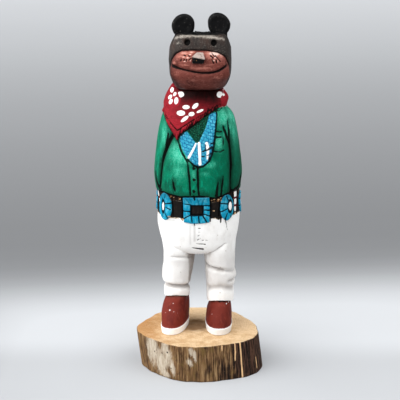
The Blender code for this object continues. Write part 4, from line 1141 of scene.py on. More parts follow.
def body_block():
    x, y, height, across = loft_grid(BODY, BODY_COLUMNS, (PLAIN_STEP, FINE_STEP, FINE_BANDS))
    areas, cuts = body_areas(across, height, np.stack([x, y, height], axis=2))
    uneven = facets(across, height, FACET_SIZE, 1)
    on_hood = ramp(areas["hood"], 0, 3) * ramp(-areas["face"], 0, 1.5)
    uneven = uneven + 0.6 * on_hood * facets(across, height, HOOD_FACET_SIZE, 2)
    uneven = uneven * ramp(np.abs(across), 110, 70)
    points = raised(x, y, height, body_relief(across, height) + cuts + uneven)
    return grid_object("body_block", in_place(points), areas)


def collar_block():
    x, y, height, across = loft_grid(COLLAR, COLLAR_COLUMNS, (PLAIN_STEP, PLAIN_STEP, []))
    areas = plain_areas(x.shape)
    points = np.stack([x, y, height], axis=2)
    areas["scarf"] = np.full(x.shape, WELL_INSIDE)
    areas["white"] = dabs_inside(points)
    # Painted shade at the top of the collar's front, under the chin
    inner = ramp(height, 203.5, 209.0) * ramp(np.abs(across), 26, 12)
    areas["dusk"] = 0.9 * inner
    points = raised(x, y, height, facets(across, height, (3.0, 5.0), 3) * 1.4)
    return grid_object("collar_block", in_place(points), areas)


def cuff_arch(across, above_cuff):
    """How much the points near a cuff are raised or lowered, as it arches over the shoe."""
    return CUFF_ARCH * (bell(across, CUFF_ARCH_WIDTH) - CUFF_SAG) * bell(above_cuff, CUFF_ARCH_REACH)


def leg_painted_shade(name, across, height, level, creases, inward):
    """The painted shade on a leg: in its folds, on its inner side, below the hip, on its shoe and at the
    ankle.
    """
    start, end = INNER_SOFT
    inward = ramp(inward - INNER_EDGE - (INNER_TOP - height) * INNER_SLANT, start, end)
    return np.maximum.reduce([
        np.clip(-creases * FOLD_SHADE, 0, FOLD_SHADE_MOST),
        INNER_SHADE[name] * inward * ramp(np.abs(across), 40, 30) * ramp(level, 6.0, 14.0),
        LEG_SHADE[name] * ramp(level, 10.0, 20.0) * ramp(height, 80.0, 62.0),
        SHOE_SHADE[name] * ramp(level, -2.0, -4.0),
        ANKLE_SHADE * ramp(level, -3.0, -0.5) * ramp(level, 0.2, -0.3),
    ])


def leg_block(name, rows, folds, cuff, toe_out):
    """A leg with its folds and its shoe, the shoe turned out at the ankle."""
    x, y, height, across = loft_grid(rows, LEG_COLUMNS, (LEG_STEP, LEG_STEP, []))
    areas = plain_areas(x.shape)
    level = height - cuff
    on_trousers = ramp(level, *CUT)
    height = height + cuff_arch(across, level)
    creases = grooves(across, height, folds) * on_trousers
    uneven = facets(across, height, FACET_SIZE, 5)
    points = raised(x, y, height, creases + uneven * ramp(height, 0.5, 6.0))
    ragged = rough(across, height, sizes=(1.4, 6.0), seed=6) * 1.6
    areas["shoe"] = -0.2 - level
    areas["sole"] = SOLE_TOP - height
    ink = 0.5 - np.abs(level + 0.5 + ragged * 0.4) + ragged * 0.35
    specks = SHOE_SPECKS[name]
    areas["white"] = round_spots(across, height, specks, 1.2)
    areas["ink"] = np.where(round_spots(across, height, specks, 1.0) > -0.4, -FAR, ink)
    middle_side = np.sign(-rows[-1][1] - rows[-1][2])
    areas["dusk"] = leg_painted_shade(name, across, height, level, creases, across * middle_side)
    _, left, right, front, back, _ = next(row for row in rows if row[0] >= cuff)
    ankle_x, ankle_y = (left + right) / 2, (front + back) / 2
    turn = toe_out * ramp(points[:, :, 2], cuff, cuff - ANKLE_DROP)
    dx, dy = points[:, :, 0] - ankle_x, points[:, :, 1] - ankle_y
    points[:, :, 0] = ankle_x + dx * np.cos(turn) + dy * np.sin(turn)
    points[:, :, 1] = ankle_y - dx * np.sin(turn) + dy * np.cos(turn)
    return grid_object(name, in_place(points), areas)


def ear_block(name, x, middle, radius, foot, lean):
    """A round paddle with softened edges and a slightly dished front, standing on the head."""
    turn = np.linspace(-EAR_ARC, EAR_ARC, EAR_POINTS)
    rise = np.cos(turn)
    width = np.sin(turn)
    width = np.where(rise < 0, np.sign(width) * np.abs(width) ** EAR_LOWER_FULLNESS, width)
    side = x + radius * width + lean * np.clip(rise, 0, 1)
    disc = np.stack([side, middle + radius * rise], axis=1)
    outline = np.vstack([(x - foot, EAR_FOOT_HEIGHT), disc, (x + foot, EAR_FOOT_HEIGHT)])
    centre = np.array([x, middle])
    rings = []
    for share in np.linspace(-1, 1, EAR_LAYERS):
        inset = EAR_EDGE_ROUND * (1 - math.sqrt(1 - share * share)) / radius
        rings.append((inset, (EAR_BACK + EAR_FRONT) / 2 + share * (EAR_FRONT - EAR_BACK) / 2))
    edge = rings[-1][0]
    for share in np.linspace(0, 1, EAR_DISH_RINGS + 1)[1:]:
        rings.append((edge + (0.97 - edge) * share, EAR_FRONT + EAR_DISH * ramp(share, 0, 0.5)))
    layers = []
    for inset, y in rings:
        ring = centre + (outline - centre) * (1 - inset)
        layers.append(np.stack([ring[:, 0], np.full(len(ring), y), ring[:, 1]], axis=1))
    points = np.array(layers)[:, ::-1]
    wave = rough(points[:, :, 0], points[:, :, 2], sizes=(3.0, 4.0), seed=8)
    points[:, :, 1] += 0.3 * wave
    areas = plain_areas(points.shape[:2])
    for name in ("hood", "black"):
        areas[name] = np.full(points.shape[:2], WELL_INSIDE)
    return grid_object(name, in_place(points), areas)


def plain_mesh(obj):
    """The object's own mesh with its modifiers worked in."""
    graph = bpy.context.evaluated_depsgraph_get()
    worked = obj.evaluated_get(graph)
    made = bpy.data.meshes.new_from_object(worked, preserve_all_data_layers=True, depsgraph=graph)
    obj.modifiers.clear()
    obj.data = made
    return obj


def nose_block():
    mesh = bpy.data.meshes.new("nose_block")
    mesh.from_pydata(in_place(np.array(NOSE)).tolist(), [], NOSE_FACES)
    nose = add_object("nose_block", mesh)
    bevel = nose.modifiers.new("softened_edges", "BEVEL")
    bevel.width = NOSE_BEVEL * UNIT
    bevel.segments = 3
    finer = nose.modifiers.new("finer", "SUBSURF")
    finer.subdivision_type = "SIMPLE"
    finer.levels = finer.render_levels = 3
    bpy.context.view_layer.update()
    nose = plain_mesh(nose)
    places = (np.array([v.co for v in nose.data.vertices]) - np.array(STANDING_PLACE)) / UNIT
    x, y, height = places.T
    areas = plain_areas(height.shape)
    for name in ("hood", "face"):
        areas[name] = np.full(height.shape, WELL_INSIDE)
    top = NOSE_LIP + (y - NOSE_LIP_PLACE[1]) * 0.4 - (x - NOSE_LIP_PLACE[0]) * 0.2
    areas["black"] = (top - height) * 1.4 - 0.9
    areas["pale"] = np.full(height.shape, 1.0)
    keep_values(nose.data, areas)
    return nose


def joined(name, blocks):
    """The blocks united into one closed carving, in the first block's object."""
    for block in blocks[1:]:
        union = blocks[0].modifiers.new("join_" + block.name, "BOOLEAN")
        union.operation = "UNION"
        union.solver = "MANIFOLD"
        union.object = block
    bpy.context.view_layer.update()
    carving = plain_mesh(blocks[0])
    carving.name = name
    for block in blocks[1:]:
        bpy.data.objects.remove(block)
    return carving


def values_of(mesh, name):
    array = np.zeros(len(mesh.vertices), np.float32)
    mesh.attributes[name].data.foreach_get("value", array)
    return array


def fill_unknown(mesh):
    """Gives the points along each join the values of the points beside them."""
    known = values_of(mesh, "known") > 0.5
    ends = np.zeros(len(mesh.edges) * 2, np.int32)
    mesh.edges.foreach_get("vertices", ends)
    ends = ends.reshape(-1, 2)
    values = {name: values_of(mesh, name) for name in AREAS}
    while not known.all():
        total = np.zeros(len(known))
        sums = {name: np.zeros(len(known)) for name in AREAS}
        for here, there in ((0, 1), (1, 0)):
            use = ~known[ends[:, here]] & known[ends[:, there]]
            np.add.at(total, ends[use, here], 1)
            for name in AREAS:
                np.add.at(sums[name], ends[use, here], values[name][ends[use, there]])
        found = ~known & (total > 0)
        if not found.any():
            break
        for name in AREAS:
            values[name][found] = sums[name][found] / total[found]
        known |= found
    for name, array in values.items():
        mesh.attributes[name].data.foreach_set("value", array.astype(np.float32))


def soften_hips(mesh):
    """Runs the thighs smoothly into the hips at the sides, where no fold is cut."""
    form = bmesh.new()
    form.from_mesh(mesh)
    low, high = (LOG_THICKNESS + height * UNIT for height in (HIP_LOW, HIP_HIGH))
    side = HIP_SIDE * UNIT
    hips = [v for v in form.verts if low < v.co.z < high and abs(v.co.x - FIGURE_X) > side]
    axes = {"use_axis_x": True, "use_axis_y": True, "use_axis_z": True}
    for _ in range(HIP_ROUNDS):
        bmesh.ops.smooth_vert(form, verts=hips, factor=0.5, **axes)
    form.to_mesh(mesh)
    form.free()


def smooth_shaded(obj, sharp_degrees):
    mesh = obj.data
    mesh.polygons.foreach_set("use_smooth", [True] * len(mesh.polygons))
    mesh.set_sharp_from_angle(angle=math.radians(sharp_degrees))
    mesh.update()


class Wire:
    """A value, colour or vector in a node tree. Sums on it add the nodes that work them out."""

    def __init__(self, tree, socket):
        self.tree = tree
        self.socket = socket

    def maths(self, operation, *others):
        return self.tree.node("ShaderNodeMath", {"operation": operation}, dict(enumerate([self, *others])))

    def __add__(self, other):
        return self.maths("ADD", other)

    def __sub__(self, other):
        return self.maths("SUBTRACT", other)

    def __rsub__(self, other):
        return self.tree.node("ShaderNodeMath", {"operation": "SUBTRACT"}, {0: other, 1: self})

    def __mul__(self, other):
        return self.maths("MULTIPLY", other)

    __radd__ = __add__
    __rmul__ = __mul__

    def least(self, other):
        return self.maths("MINIMUM", other)

    def most(self, other):
        return self.maths("MAXIMUM", other)


class Tree:
    """A node tree, and the one method that adds its nodes."""

    def __init__(self, nodes, links):
        self.nodes = nodes
        self.links = links

    def node(self, kind, settings=None, inputs=None, output=0):
        made = self.nodes.new(kind)
        for name, value in (settings or {}).items():
            setattr(made, name, value)
        for key, value in (inputs or {}).items():
            self.give(made.inputs[key], value)
        return Wire(self, made.outputs[output]) if len(made.outputs) else None

    def give(self, socket, value):
        """Links a wire, or each wire of a list, to a socket, or sets the socket's own value."""
        if isinstance(value, Wire):
            value = [value]
        if isinstance(value, list):
            for wire in value:
                self.links.new(wire.socket, socket)
        else:
            socket.default_value = value

    def vector(self, operation, inputs, output=0):
        return self.node("ShaderNodeVectorMath", {"operation": operation}, inputs, output)

    def along(self, vector, axis):
        """A vector's part along X, Y or Z."""
        return self.node("ShaderNodeSeparateXYZ", None, {0: vector}, axis)


class Finish(Tree):
    """A material, with what its colours and its relief are mixed from."""

    def __init__(self, name, paints=None):
        self.paints = paints
        self.material = bpy.data.materials.new(name)
        self.material.use_nodes = True
        super().__init__(self.material.node_tree.nodes, self.material.node_tree.links)
        self.shader = self.nodes["Principled BSDF"]
        self.metres = self.node("ShaderNodeTexCoord", output="Object")
        self.place = self.vector("SCALE", {0: self.metres, "Scale": MILLIMETRES})

    def feed(self, name, value):
        self.give(self.shader.inputs[name], value)

    def kept(self, name):
        """A value that the mesh keeps at its points."""
        return self.node("ShaderNodeAttribute", {"attribute_name": name}, output="Fac")

    def stretched(self, sizes):
        return self.vector("DIVIDE", {0: self.place, 1: sizes})

    def noise(self, sizes, detail=2.0, roughness=0.5, distortion=0.0):
        """Noise from 0 to 1 whose spots have the sizes given, in millimetres."""
        inputs = {
            "Vector": self.stretched(sizes), "Scale": 1.0, "Detail": detail,
            "Roughness": roughness, "Distortion": distortion,
        }
        return self.node("ShaderNodeTexNoise", None, inputs)

    def step(self, value, low, high):
        """0 at low and 1 at high, smooth between them. Low may be the greater."""
        inputs = {"Value": value, "From Min": low, "From Max": high}
        return self.node("ShaderNodeMapRange", {"interpolation_type": "SMOOTHSTEP"}, inputs)

    def even_step(self, value, low, high):
        """0 at low and 1 at high, even between them."""
        return self.node("ShaderNodeMapRange", None, {"Value": value, "From Min": low, "From Max": high})

    def mix(self, under, over, share):
        """One colour over another, each of them a wire or the name of a paint."""
        under, over = (paint(*self.paints[c]) if isinstance(c, str) else c for c in (under, over))
        return self.node("ShaderNodeMix", {"data_type": "RGBA"}, {0: share, 6: under, 7: over}, 2)

    def coated(self, colour, coats):
        """The colour under thin coats, each as (paint, value, from, to, strength)."""
        for coat, value, low, high, strength in coats:
            colour = self.mix(colour, coat, self.step(value, low, high) * strength)
        return colour

    def darker(self, colour, share):
        """The colour times a grey value."""
        grey = self.node("ShaderNodeCombineXYZ", None, {0: share, 1: share, 2: share})
        settings = {"data_type": "RGBA", "blend_type": "MULTIPLY"}
        return self.node("ShaderNodeMix", settings, {0: 1.0, 6: colour, 7: grey}, 2)

    def specks(self, size, share, seed_shift):
        """Small round specks in a share of the cells of a grid."""
        place = self.vector("ADD", {0: self.place, 1: (seed_shift,) * 3})
        settings = {"feature": "F1"}
        inputs = {"Vector": place, "Scale": 1 / size, "Randomness": 1.0}
        near = self.node("ShaderNodeTexVoronoi", settings, inputs, "Distance")
        pick = self.node("ShaderNodeTexVoronoi", settings, inputs, "Color")
        chosen = self.step(self.along(pick, "X"), 1 - share - 0.01, 1 - share + 0.01)
        return self.step(near, 0.32, 0.2) * chosen

    def bump(self, height, depth):
        """The surface's own relief, depth metres from 0 to 1."""
        return self.node("ShaderNodeBump", None, {"Height": height, "Distance": depth, "Strength": 1.0})


def paint(red, green, blue):
    """A colour as it shows on a screen, from 0 to 255, to the values that light works with."""
    shares = (red / 255, green / 255, blue / 255)
    linear = (s / 12.92 if s <= 0.04045 else ((s + 0.055) / 1.055) ** 2.4 for s in shares)
    return (*linear, 1.0)


# The bear's paints, as they show on a screen, the colours of its painted shade and painted highlights among
# them
BEAR_PAINTS = {
    "trousers": (248, 247, 245),
    "trousers_worn": (196, 190, 182),
    "fold_shade": (92, 72, 60),
    "leather": (24, 21, 20),
    "leather_worn": (46, 37, 31),
    "bare_wood": (206, 146, 92),
    "bare_wood_dark": (30, 21, 15),
    "raw_edge": (196, 170, 140),
    "shirt": (0, 114, 83),
    "shirt_dark": (0, 80, 58),
    "shirt_shaded": (0, 66, 46),
    "shirt_light": (0, 180, 142),
    "mint": (120, 218, 190),
    "opening": (3, 34, 24),
    "opening_light": (84, 128, 66),
    "scarf": (146, 26, 38),
    "scarf_dark": (84, 12, 18),
    "scarf_light": (176, 62, 68),
    "scarf_shade": (22, 0, 0),
    "stone": (14, 140, 174),
    "stone_light": (104, 200, 222),
    "stone_dark": (6, 84, 134),
    "hood": (46, 41, 39),
    "hood_warm": (58, 45, 40),
    "hood_worn": (158, 151, 142),
    "black": (18, 18, 19),
    "face": (119, 64, 56),
    "face_light": (178, 114, 100),
    "face_pale": (236, 200, 188),
    "face_dark": (58, 24, 21),
    "nose": (172, 156, 148),
    "shoe": (110, 42, 33),
    "shoe_dark": (86, 32, 28),
    "shoe_light": (140, 66, 52),
    "sole": (247, 247, 246),
    "white": (248, 247, 245),
    "bead": (96, 14, 24),
    "ink": (5, 4, 4),
    "dusk": (8, 3, 2),
}


class CarvedPaint(Finish):
    """Brushed paint over carved wood, with the noises and values that all its colours share."""

    def __init__(self):
        super().__init__("painted_carved_wood", BEAR_PAINTS)
        self.wobble = (self.noise((1.3, 1.3, 1.3)) - 0.5) * 0.5
        self.broad = self.noise((9.0, 9.0, 14.0), 3.0)
        self.brush = self.noise((2.4, 2.4, 5.0), 4.0, 0.6)
        self.fine = self.noise((0.55, 0.55, 0.7), 3.0, 0.65)
        self.cloth = self.noise((4.0, 4.0, 4.0), 4.0, 0.7)
        self.pale = self.kept("pale")
        self.across = self.along(self.place, "X")
        self.height = self.along(self.place, "Z")

    def area(self, name, soft=0.16):
        """Where a painted area lies, with an uneven edge."""
        return self.step(self.kept(name) + self.wobble, -soft, soft)


def trouser_paint(f):
    colour = f.mix("trousers", "trousers_worn", f.step(f.broad, 0.5, 0.8) * 0.35)
    return f.mix(colour, "trousers_worn", f.specks(2.4, 0.03, 9.0) * 0.8)


def with_belt(f, colour):
    """The colour with black leather over it, its ragged lower edge, and the strip of wood above."""
    raw = f.mix("raw_edge", "leather_worn", f.step(f.cloth, 0.45, 0.6))
    ragged = f.step(f.kept("leather") + f.wobble * 1.6, -1.0, -0.6)
    colour = f.mix(colour, raw, ragged * f.step(f.cloth, 0.38, 0.5))
    leather = f.mix("leather", "leather_worn", f.step(f.brush, 0.5, 0.78))
    colour = f.mix(colour, leather, f.area("leather", 0.3))
    strip = f.mix("bare_wood_dark", "bare_wood", f.step(f.cloth, 0.56, 0.66))
    return f.mix(colour, strip, f.area("strip"))


def shirt_paint(f):
    """Green, with painted highlights in lighter green and mint sheen where the cloth stands out, and painted
    shade on its right side.
    """
    coats = [("shirt", f.broad, 0.3, 0.6, 1.0), ("shirt_light", f.brush, 0.45, 0.8, 0.5)]
    green = f.coated("shirt_dark", coats)
    # Painted highlights: lighter green and a mint sheen on the pale spots, and mint specks, more of them
    # there
    sheen_grain = f.pale * f.step(f.fine + f.brush * 0.5, 0.62, 0.9)
    green = f.mix(green, "shirt_light", f.pale)
    green = f.mix(green, "mint", sheen_grain)
    green = f.mix(green, "mint", f.specks(0.75, 0.3, 3.0) * (0.15 + f.pale).least(0.7))
    green = f.mix(green, "opening", f.step(f.fine + f.brush * 0.4, 0.86, 0.98) * 0.6)
    # Painted shade on the right side, less of it under the painted highlights
    in_shade = f.step(f.across, SHIRT_SHADE_START, SHIRT_SHADE_END) * (1 - f.pale).most(0.0)
    return f.mix(green, "shirt_shaded", in_shade * 0.7)


def opening_paint(f):
    """The dark green inside the shirt's neck, with light scrapes."""
    scrapes = [("shirt_light", f.fine, 0.5, 0.64, 0.4), ("opening_light", f.fine, 0.6, 0.7, 0.8)]
    return f.coated("opening", scrapes)


def scarf_paint(f):
    """Red with darker and lighter slanting streaks in it."""
    slant = f.noise((5.0, 2.0, 0.8), 3.0, 0.6, 1.0)
    red = f.mix("scarf", "scarf_dark", f.step(slant, 0.42, 0.78) * 0.7)
    lighter_share = f.step(slant, 0.5, 0.25) * f.step(f.brush, 0.4, 0.7)
    return f.mix(red, "scarf_light", lighter_share * 0.7)


def stone_paint(f):
    """Blue stone: plain on the belt, and laid in shifted rows in the necklace on the chest."""
    stone = f.mix("stone", "stone_light", f.step(f.brush, 0.47, 0.7) * 0.65)
    uneven = f.wobble * 2.6
    row_place = {0: f.across + uneven, 1: f.height + uneven + f.across * 0.35, 2: 0.0}
    rows = {
        "Vector": f.node("ShaderNodeCombineXYZ", None, row_place), "Scale": 1.0, "Mortar Size": 0.34,
        "Mortar Smooth": 0.6, "Bias": 0.0, "Brick Width": 3.5, "Row Height": 2.7,
    }
    seams = f.node("ShaderNodeTexBrick", {"offset": 0.5}, rows, "Fac")
    patches = f.step(f.noise((2.4, 2.4, 1.6), 2.0, 0.6), 0.5, 0.7) * 0.7
    chest_stone = f.mix("stone", "stone_light", 0.2 + patches)
    chest_stone = f.mix(chest_stone, "stone_dark", seams * f.step(f.brush, 0.2, 0.45))
    return f.mix(stone, chest_stone, f.step(f.height, *CHEST))


def hood_paint(f):
    """Black brushed over brown in upright streaks, worn through and with painted highlights where the wood
    stands out.
    """
    streaks = f.noise((0.8, 0.8, 6.0), 3.0, 0.6)
    hood = f.coated("hood", [
        ("hood_warm", f.broad, 0.4, 0.7, 1.0), ("black", streaks, 0.5, 0.75, 0.6),
        ("hood_worn", f.fine + streaks * 0.5, 0.78, 1.0, 0.34),
    ])
    # Wear and painted highlights along the rim and on the pale spots
    spread = f.fine + f.noise((2.0, 2.0, 1.6), 2.0) * 0.7 + f.pale * 0.3
    worn_and_lit = f.pale * f.step(spread, 0.9, 1.22)
    return f.mix(hood, "hood_worn", worn_and_lit.least(0.9))


def face_paint(f):
    """Brown with darker and lighter scuffs, and painted highlights on the muzzle."""
    scuffs = f.noise((2.6, 2.0, 1.2), 4.0, 0.65, 0.8)
    return f.coated("face", [
        ("face_dark", f.broad, 0.45, 0.75, 0.6), ("face_dark", scuffs, 0.46, 0.3, 0.6),
        ("face_light", scuffs, 0.52, 0.72, 0.5),
        # Painted highlights on the muzzle, where the pale spots lie
        ("face_light", f.pale + (scuffs - 0.5) * 0.5, 0.15, 0.5, 0.85),
        ("face_pale", f.pale + (f.fine - 0.5) * 0.5, 0.45, 0.8, 1.0),
    ])


def with_head(f, colour, on_head):
    """The colour with the hood, the face, the nose and the black tops of the ears over it."""
    colour = f.mix(colour, hood_paint(f), on_head)
    face = f.area("face") * on_head
    colour = f.mix(colour, face_paint(f), face)
    nose = f.step(f.pale, 0.93, 0.99) * face
    nose_top = f.mix("nose", "face_dark", f.step(f.brush + f.fine * 0.5, 0.72, 0.95) * 0.7)
    colour = f.mix(colour, nose_top, nose)
    black = f.mix("black", "hood_worn", f.specks(0.9, 0.14, 5.0) * 0.35)
    black = f.mix(black, "bare_wood", f.specks(1.5, 0.3, 7.0) * nose * 0.6)
    return f.mix(colour, black, f.area("black", 0.3))


def with_shoes(f, colour):
    coats = [("shoe_dark", f.broad, 0.45, 0.75, 1.0), ("shoe_light", f.brush, 0.5, 0.8, 0.5)]
    leather = f.coated("shoe", coats)
    colour = f.mix(colour, leather, f.area("shoe"))
    return f.mix(colour, "sole", f.area("sole"))


def with_painted_shade(f, colour, scarf):
    """The colour with painted shade in its folds and under its edges, brown on the trousers and deep red on
    the scarf.
    """
    on_trousers = f.step(f.height, *TROUSERS_FOOT) * f.step(f.height, *TROUSERS_TOP)
    shade = f.mix("dusk", "fold_shade", on_trousers)
    shade = f.mix(shade, "scarf_shade", scarf)
    share = f.kept("dusk") * (0.85 + f.brush * 0.3) * (1 + on_trousers * 0.4)
    return f.mix(colour, shade, share.least(1.0))


def bear_finish():
    """Every area of paint on the carving in turn with its painted shade and highlights, then its white and
    ink lines and its chips.
    """
    f = CarvedPaint()
    shirt, scarf, on_head = f.area("shirt"), f.area("scarf"), f.area("hood")
    colour = with_belt(f, trouser_paint(f))
    colour = f.mix(colour, shirt_paint(f), shirt)
    colour = f.mix(colour, opening_paint(f), f.area("opening"))
    colour = f.mix(colour, scarf_paint(f), scarf)
    colour = f.mix(colour, stone_paint(f), f.step(f.kept("stone") + f.wobble * 0.6, -0.16, 0.16))
    colour = with_shoes(f, with_head(f, colour, on_head))
    colour = with_painted_shade(f, colour, scarf)
    white = f.step(f.kept("white") + f.wobble * 0.7, -0.14, 0.14)
    colour = f.mix(colour, "white", white)
    colour = f.mix(colour, "bead", f.area("red"))
    brushed = (f.cloth - 0.5) * (0.5 + shirt * 1.1)
    ink = f.step(f.kept("ink") + f.wobble * 0.9 + brushed, -0.22, 0.2)
    colour = f.mix(colour, "ink", ink * 0.96)
    chip = f.step(f.kept("chip") + (f.fine - 0.5) * 1.6, -0.1, 0.15)
    colour = f.mix(colour, f.mix("bare_wood", "raw_edge", f.cloth), chip)
    f.feed("Base Color", f.darker(colour, 0.93 + f.fine * 0.14))
    f.feed("Roughness", 0.6 - 0.14 * on_head + 0.1 * (f.fine - 0.5) + 0.2 * ink)
    f.feed("Specular IOR Level", 0.07)
    grain = f.noise((0.5, 0.5, 7.0), 3.0, 0.6)
    lift = grain * 0.35 + f.fine * 0.45 + f.brush * 0.8 + white * 0.5 - ink * 0.3
    f.feed("Normal", f.bump(lift, PAINT_RELIEF))
    return f


class Growth(Tree):
    """A geometry node tree with named inputs, whose growth joins the mesh that it is laid on."""

    def __init__(self, name, inputs):
        self.group = bpy.data.node_groups.new(name, "GeometryNodeTree")
        super().__init__(self.group.nodes, self.group.links)
        sockets = self.group.interface
        sockets.new_socket("Geometry", in_out="INPUT", socket_type="NodeSocketGeometry")
        sockets.new_socket("Geometry", in_out="OUTPUT", socket_type="NodeSocketGeometry")
        self.identifiers = {}
        for label, kind, value in inputs:
            socket = sockets.new_socket(label, in_out="INPUT", socket_type="NodeSocket" + kind)
            socket.default_value = value
            self.identifiers[label] = socket.identifier
        source = self.node("NodeGroupInput").socket.node
        self.given = {label: Wire(self, source.outputs[label]) for label in ("Geometry", *self.identifiers)}

    def drawn(self, low, high, seed):
        """A random vector for each point, between two vectors."""
        inputs = {0: low, 1: high, "Seed": seed}
        return self.node("FunctionNodeRandomValue", {"data_type": "FLOAT_VECTOR"}, inputs)

    def placed(self, inputs):
        """Real copies of an instance on points."""
        copies = self.node("GeometryNodeInstanceOnPoints", None, inputs)
        return self.node("GeometryNodeRealizeInstances", None, {"Geometry": copies})

    def stored(self, geometry, names, value):
        """The geometry, keeping one value at its points for each name."""
        settings = {"data_type": "FLOAT", "domain": "POINT"}
        for name in names:
            inputs = {"Geometry": geometry, "Name": name, "Value": value}
            geometry = self.node("GeometryNodeStoreNamedAttribute", settings, inputs)
        return geometry

    def complete(self, growth, material):
        """Joins the growth to the mesh that was given, in one material."""
        whole = self.node("GeometryNodeJoinGeometry", None, {0: [self.given["Geometry"], growth]})
        whole = self.node("GeometryNodeRealizeInstances", None, {"Geometry": whole})
        whole = self.node("GeometryNodeSetMaterial", None, {"Geometry": whole, "Material": material})
        self.node("NodeGroupOutput", None, {0: whole})


def tuft_tree(material):
    """Rough chips standing in a row between two points, joined to the carving."""
    tree = Growth("head_tufts", [
        ("Start", "Vector", (-0.010, 0.0, 0.28)), ("End", "Vector", (0.010, 0.0, 0.28)),
        ("Count", "Int", 15), ("Chip size", "Float", 0.0012), ("Seed", "Int", 3),
    ])
    size, seed = tree.given["Chip size"], tree.given["Seed"]
    ends = {"Count": tree.given["Count"], "Start Location": tree.given["Start"], "Offset": tree.given["End"]}
    row = tree.node("GeometryNodeMeshLine", {"mode": "END_POINTS"}, ends)
    reach = tree.node("ShaderNodeCombineXYZ", None, {0: size * 0.5, 1: size * 1.6, 2: size * 0.25})
    shift = tree.drawn(tree.vector("SCALE", {0: reach, "Scale": -1.0}), reach, seed)
    row = tree.node("GeometryNodeSetPosition", None, {"Geometry": row, "Offset": shift})
    chip = tree.node("GeometryNodeMeshIcoSphere", None, {"Radius": 1.0, "Subdivisions": 2}, "Mesh")
    ragged = tree.drawn((-TUFT_RAGGED,) * 3, (TUFT_RAGGED,) * 3, seed + 5)
    chip = tree.node("GeometryNodeSetPosition", None, {"Geometry": chip, "Offset": ragged})
    tilt = tree.drawn((-0.7, -0.7, -1.5), (0.7, 0.7, 1.5), seed + 1)
    scale = tree.vector("SCALE", {0: tree.drawn(*TUFT_SHARES, seed + 2), "Scale": size})
    chips = tree.placed({"Points": row, "Instance": chip, "Rotation": tilt, "Scale": scale})
    chips = tree.stored(chips, TUFT_AREAS, WELL_INSIDE)
    others = [name for name in AREAS if name not in (*TUFT_AREAS, *SHADES)]
    tree.complete(tree.stored(chips, others, -FAR), material)
    return tree


def grown(obj, tree, given):
    """The object with a node tree's growth worked into its mesh."""
    growth = obj.modifiers.new(tree.group.name, "NODES")
    growth.node_group = tree.group
    for name, value in given.items():
        growth[tree.identifiers[name]] = value
    bpy.context.view_layer.update()
    return plain_mesh(obj)


def make_bear():
    blocks = [
        body_block(),
        collar_block(),
        leg_block("left_leg", LEFT_LEG, LEFT_FOLDS, LEFT_CUFF, LEFT_TOE_OUT),
        leg_block("right_leg", RIGHT_LEG, RIGHT_FOLDS, RIGHT_CUFF, -RIGHT_TOE_OUT),
        nose_block(),
    ]
    blocks += [ear_block(f"ear_{k}", *ear) for k, ear in enumerate(EARS)]
    bear = joined("painted_bear", blocks)
    fill_unknown(bear.data)
    soften_hips(bear.data)
    finish = bear_finish()
    bear.data.materials.clear()
    bear.data.materials.append(finish.material)
    start, end = in_place(np.array(TUFT_ENDS))
    row = {"Start": tuple(start), "End": tuple(end), "Count": TUFT_COUNT}
    chips = {**row, "Chip size": TUFT_SIZE, "Seed": TUFT_SEED}
    bear = grown(bear, tuft_tree(finish.material), chips)
    smooth_shaded(bear, 55)
    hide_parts("bear_figure")
    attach(bear, "root")
    return bear


def spread(values, extent):
    """The values moved and scaled to run from -extent / 2 to extent / 2."""
    low, high = values.min(), values.max()
    return (values - (low + high) / 2) * extent / (high - low)


def log_edge(degrees):
    """The log's outline, as x and y in metres."""
    knots = np.array([(a + wrap, r) for wrap in (-360, 0, 360) for a, r in LOG_OUTLINE], float)
    radius = smooth_curve(knots[:, 0], knots[:, 1], degrees)
    turn = np.radians(degrees)
    for share, waves, start in LOG_RIPPLES:
        radius *= 1 + share * np.sin(waves * turn + start)
    return spread(radius * np.sin(turn), LOG_WIDTH - LOG_LEAN), spread(-radius * np.cos(turn), LOG_DEPTH)


def turn_apart(degrees, middle):
    """Degrees from middle, from -180 to 180."""
    return (degrees - middle + 180) % 360 - 180


LOG_VALUES = ["side", "grey", "bark", "split", "knot"]


def log_marks(degrees, height):
    """What shows on the log's side: bare grey wood, bark, splits and knots."""
    grey = np.full(degrees.shape, -FAR)
    for middle, level, half_width, half_height in GREY_PATCHES:
        apart = np.hypot(turn_apart(degrees, middle) / half_width, (height - level) / half_height)
        grey = np.maximum(grey, (1 - apart) * GREY_FADE)
    corners = np.array(BARK)
    bark = np.interp(degrees, corners[:, 0], corners[:, 1], left=0, right=0)
    knot = np.full(degrees.shape, -FAR)
    for middle, level, radius in KNOTS:
        sideways = turn_apart(degrees, middle) * DEGREE / KNOT_STRETCH
        knot = np.maximum(knot, radius - np.hypot(sideways, height - level))
    lines = [[(a * DEGREE, h, w) for a, h, w in line] for line in SPLITS]
    split = strokes(degrees * DEGREE, height, lines)
    return {"grey": grey, "bark": bark, "knot": knot, "split": split}


def side_rings(degrees):
    """Rings of points up the log's side, leaning a little and wider at the foot, before its relief."""
    x, y = log_edge(degrees)
    edge = 1 - 2 * LOG_ARRIS / LOG_WIDTH
    rise = LOG_THICKNESS - 2 * LOG_ARRIS
    heights = LOG_ARRIS + rise * np.linspace(0, 1, LOG_SIDE_RINGS)
    flare_middle, flare_half_width, flare = LOG_FLARE
    rings = []
    for height, keep in [(0.0, edge)] + [(h, 1.0) for h in heights] + [(LOG_THICKNESS, edge)]:
        share = np.clip((height - LOG_ARRIS) / rise, 0, 1)
        shift = LOG_LEAN * (0.5 - share)
        width = keep * (1 + flare * (1 - share) * bell(degrees - flare_middle, flare_half_width))
        rings.append(np.stack([x * width + shift, y * width, np.full(LOG_COLUMNS, height)], axis=1))
    return np.array(rings)


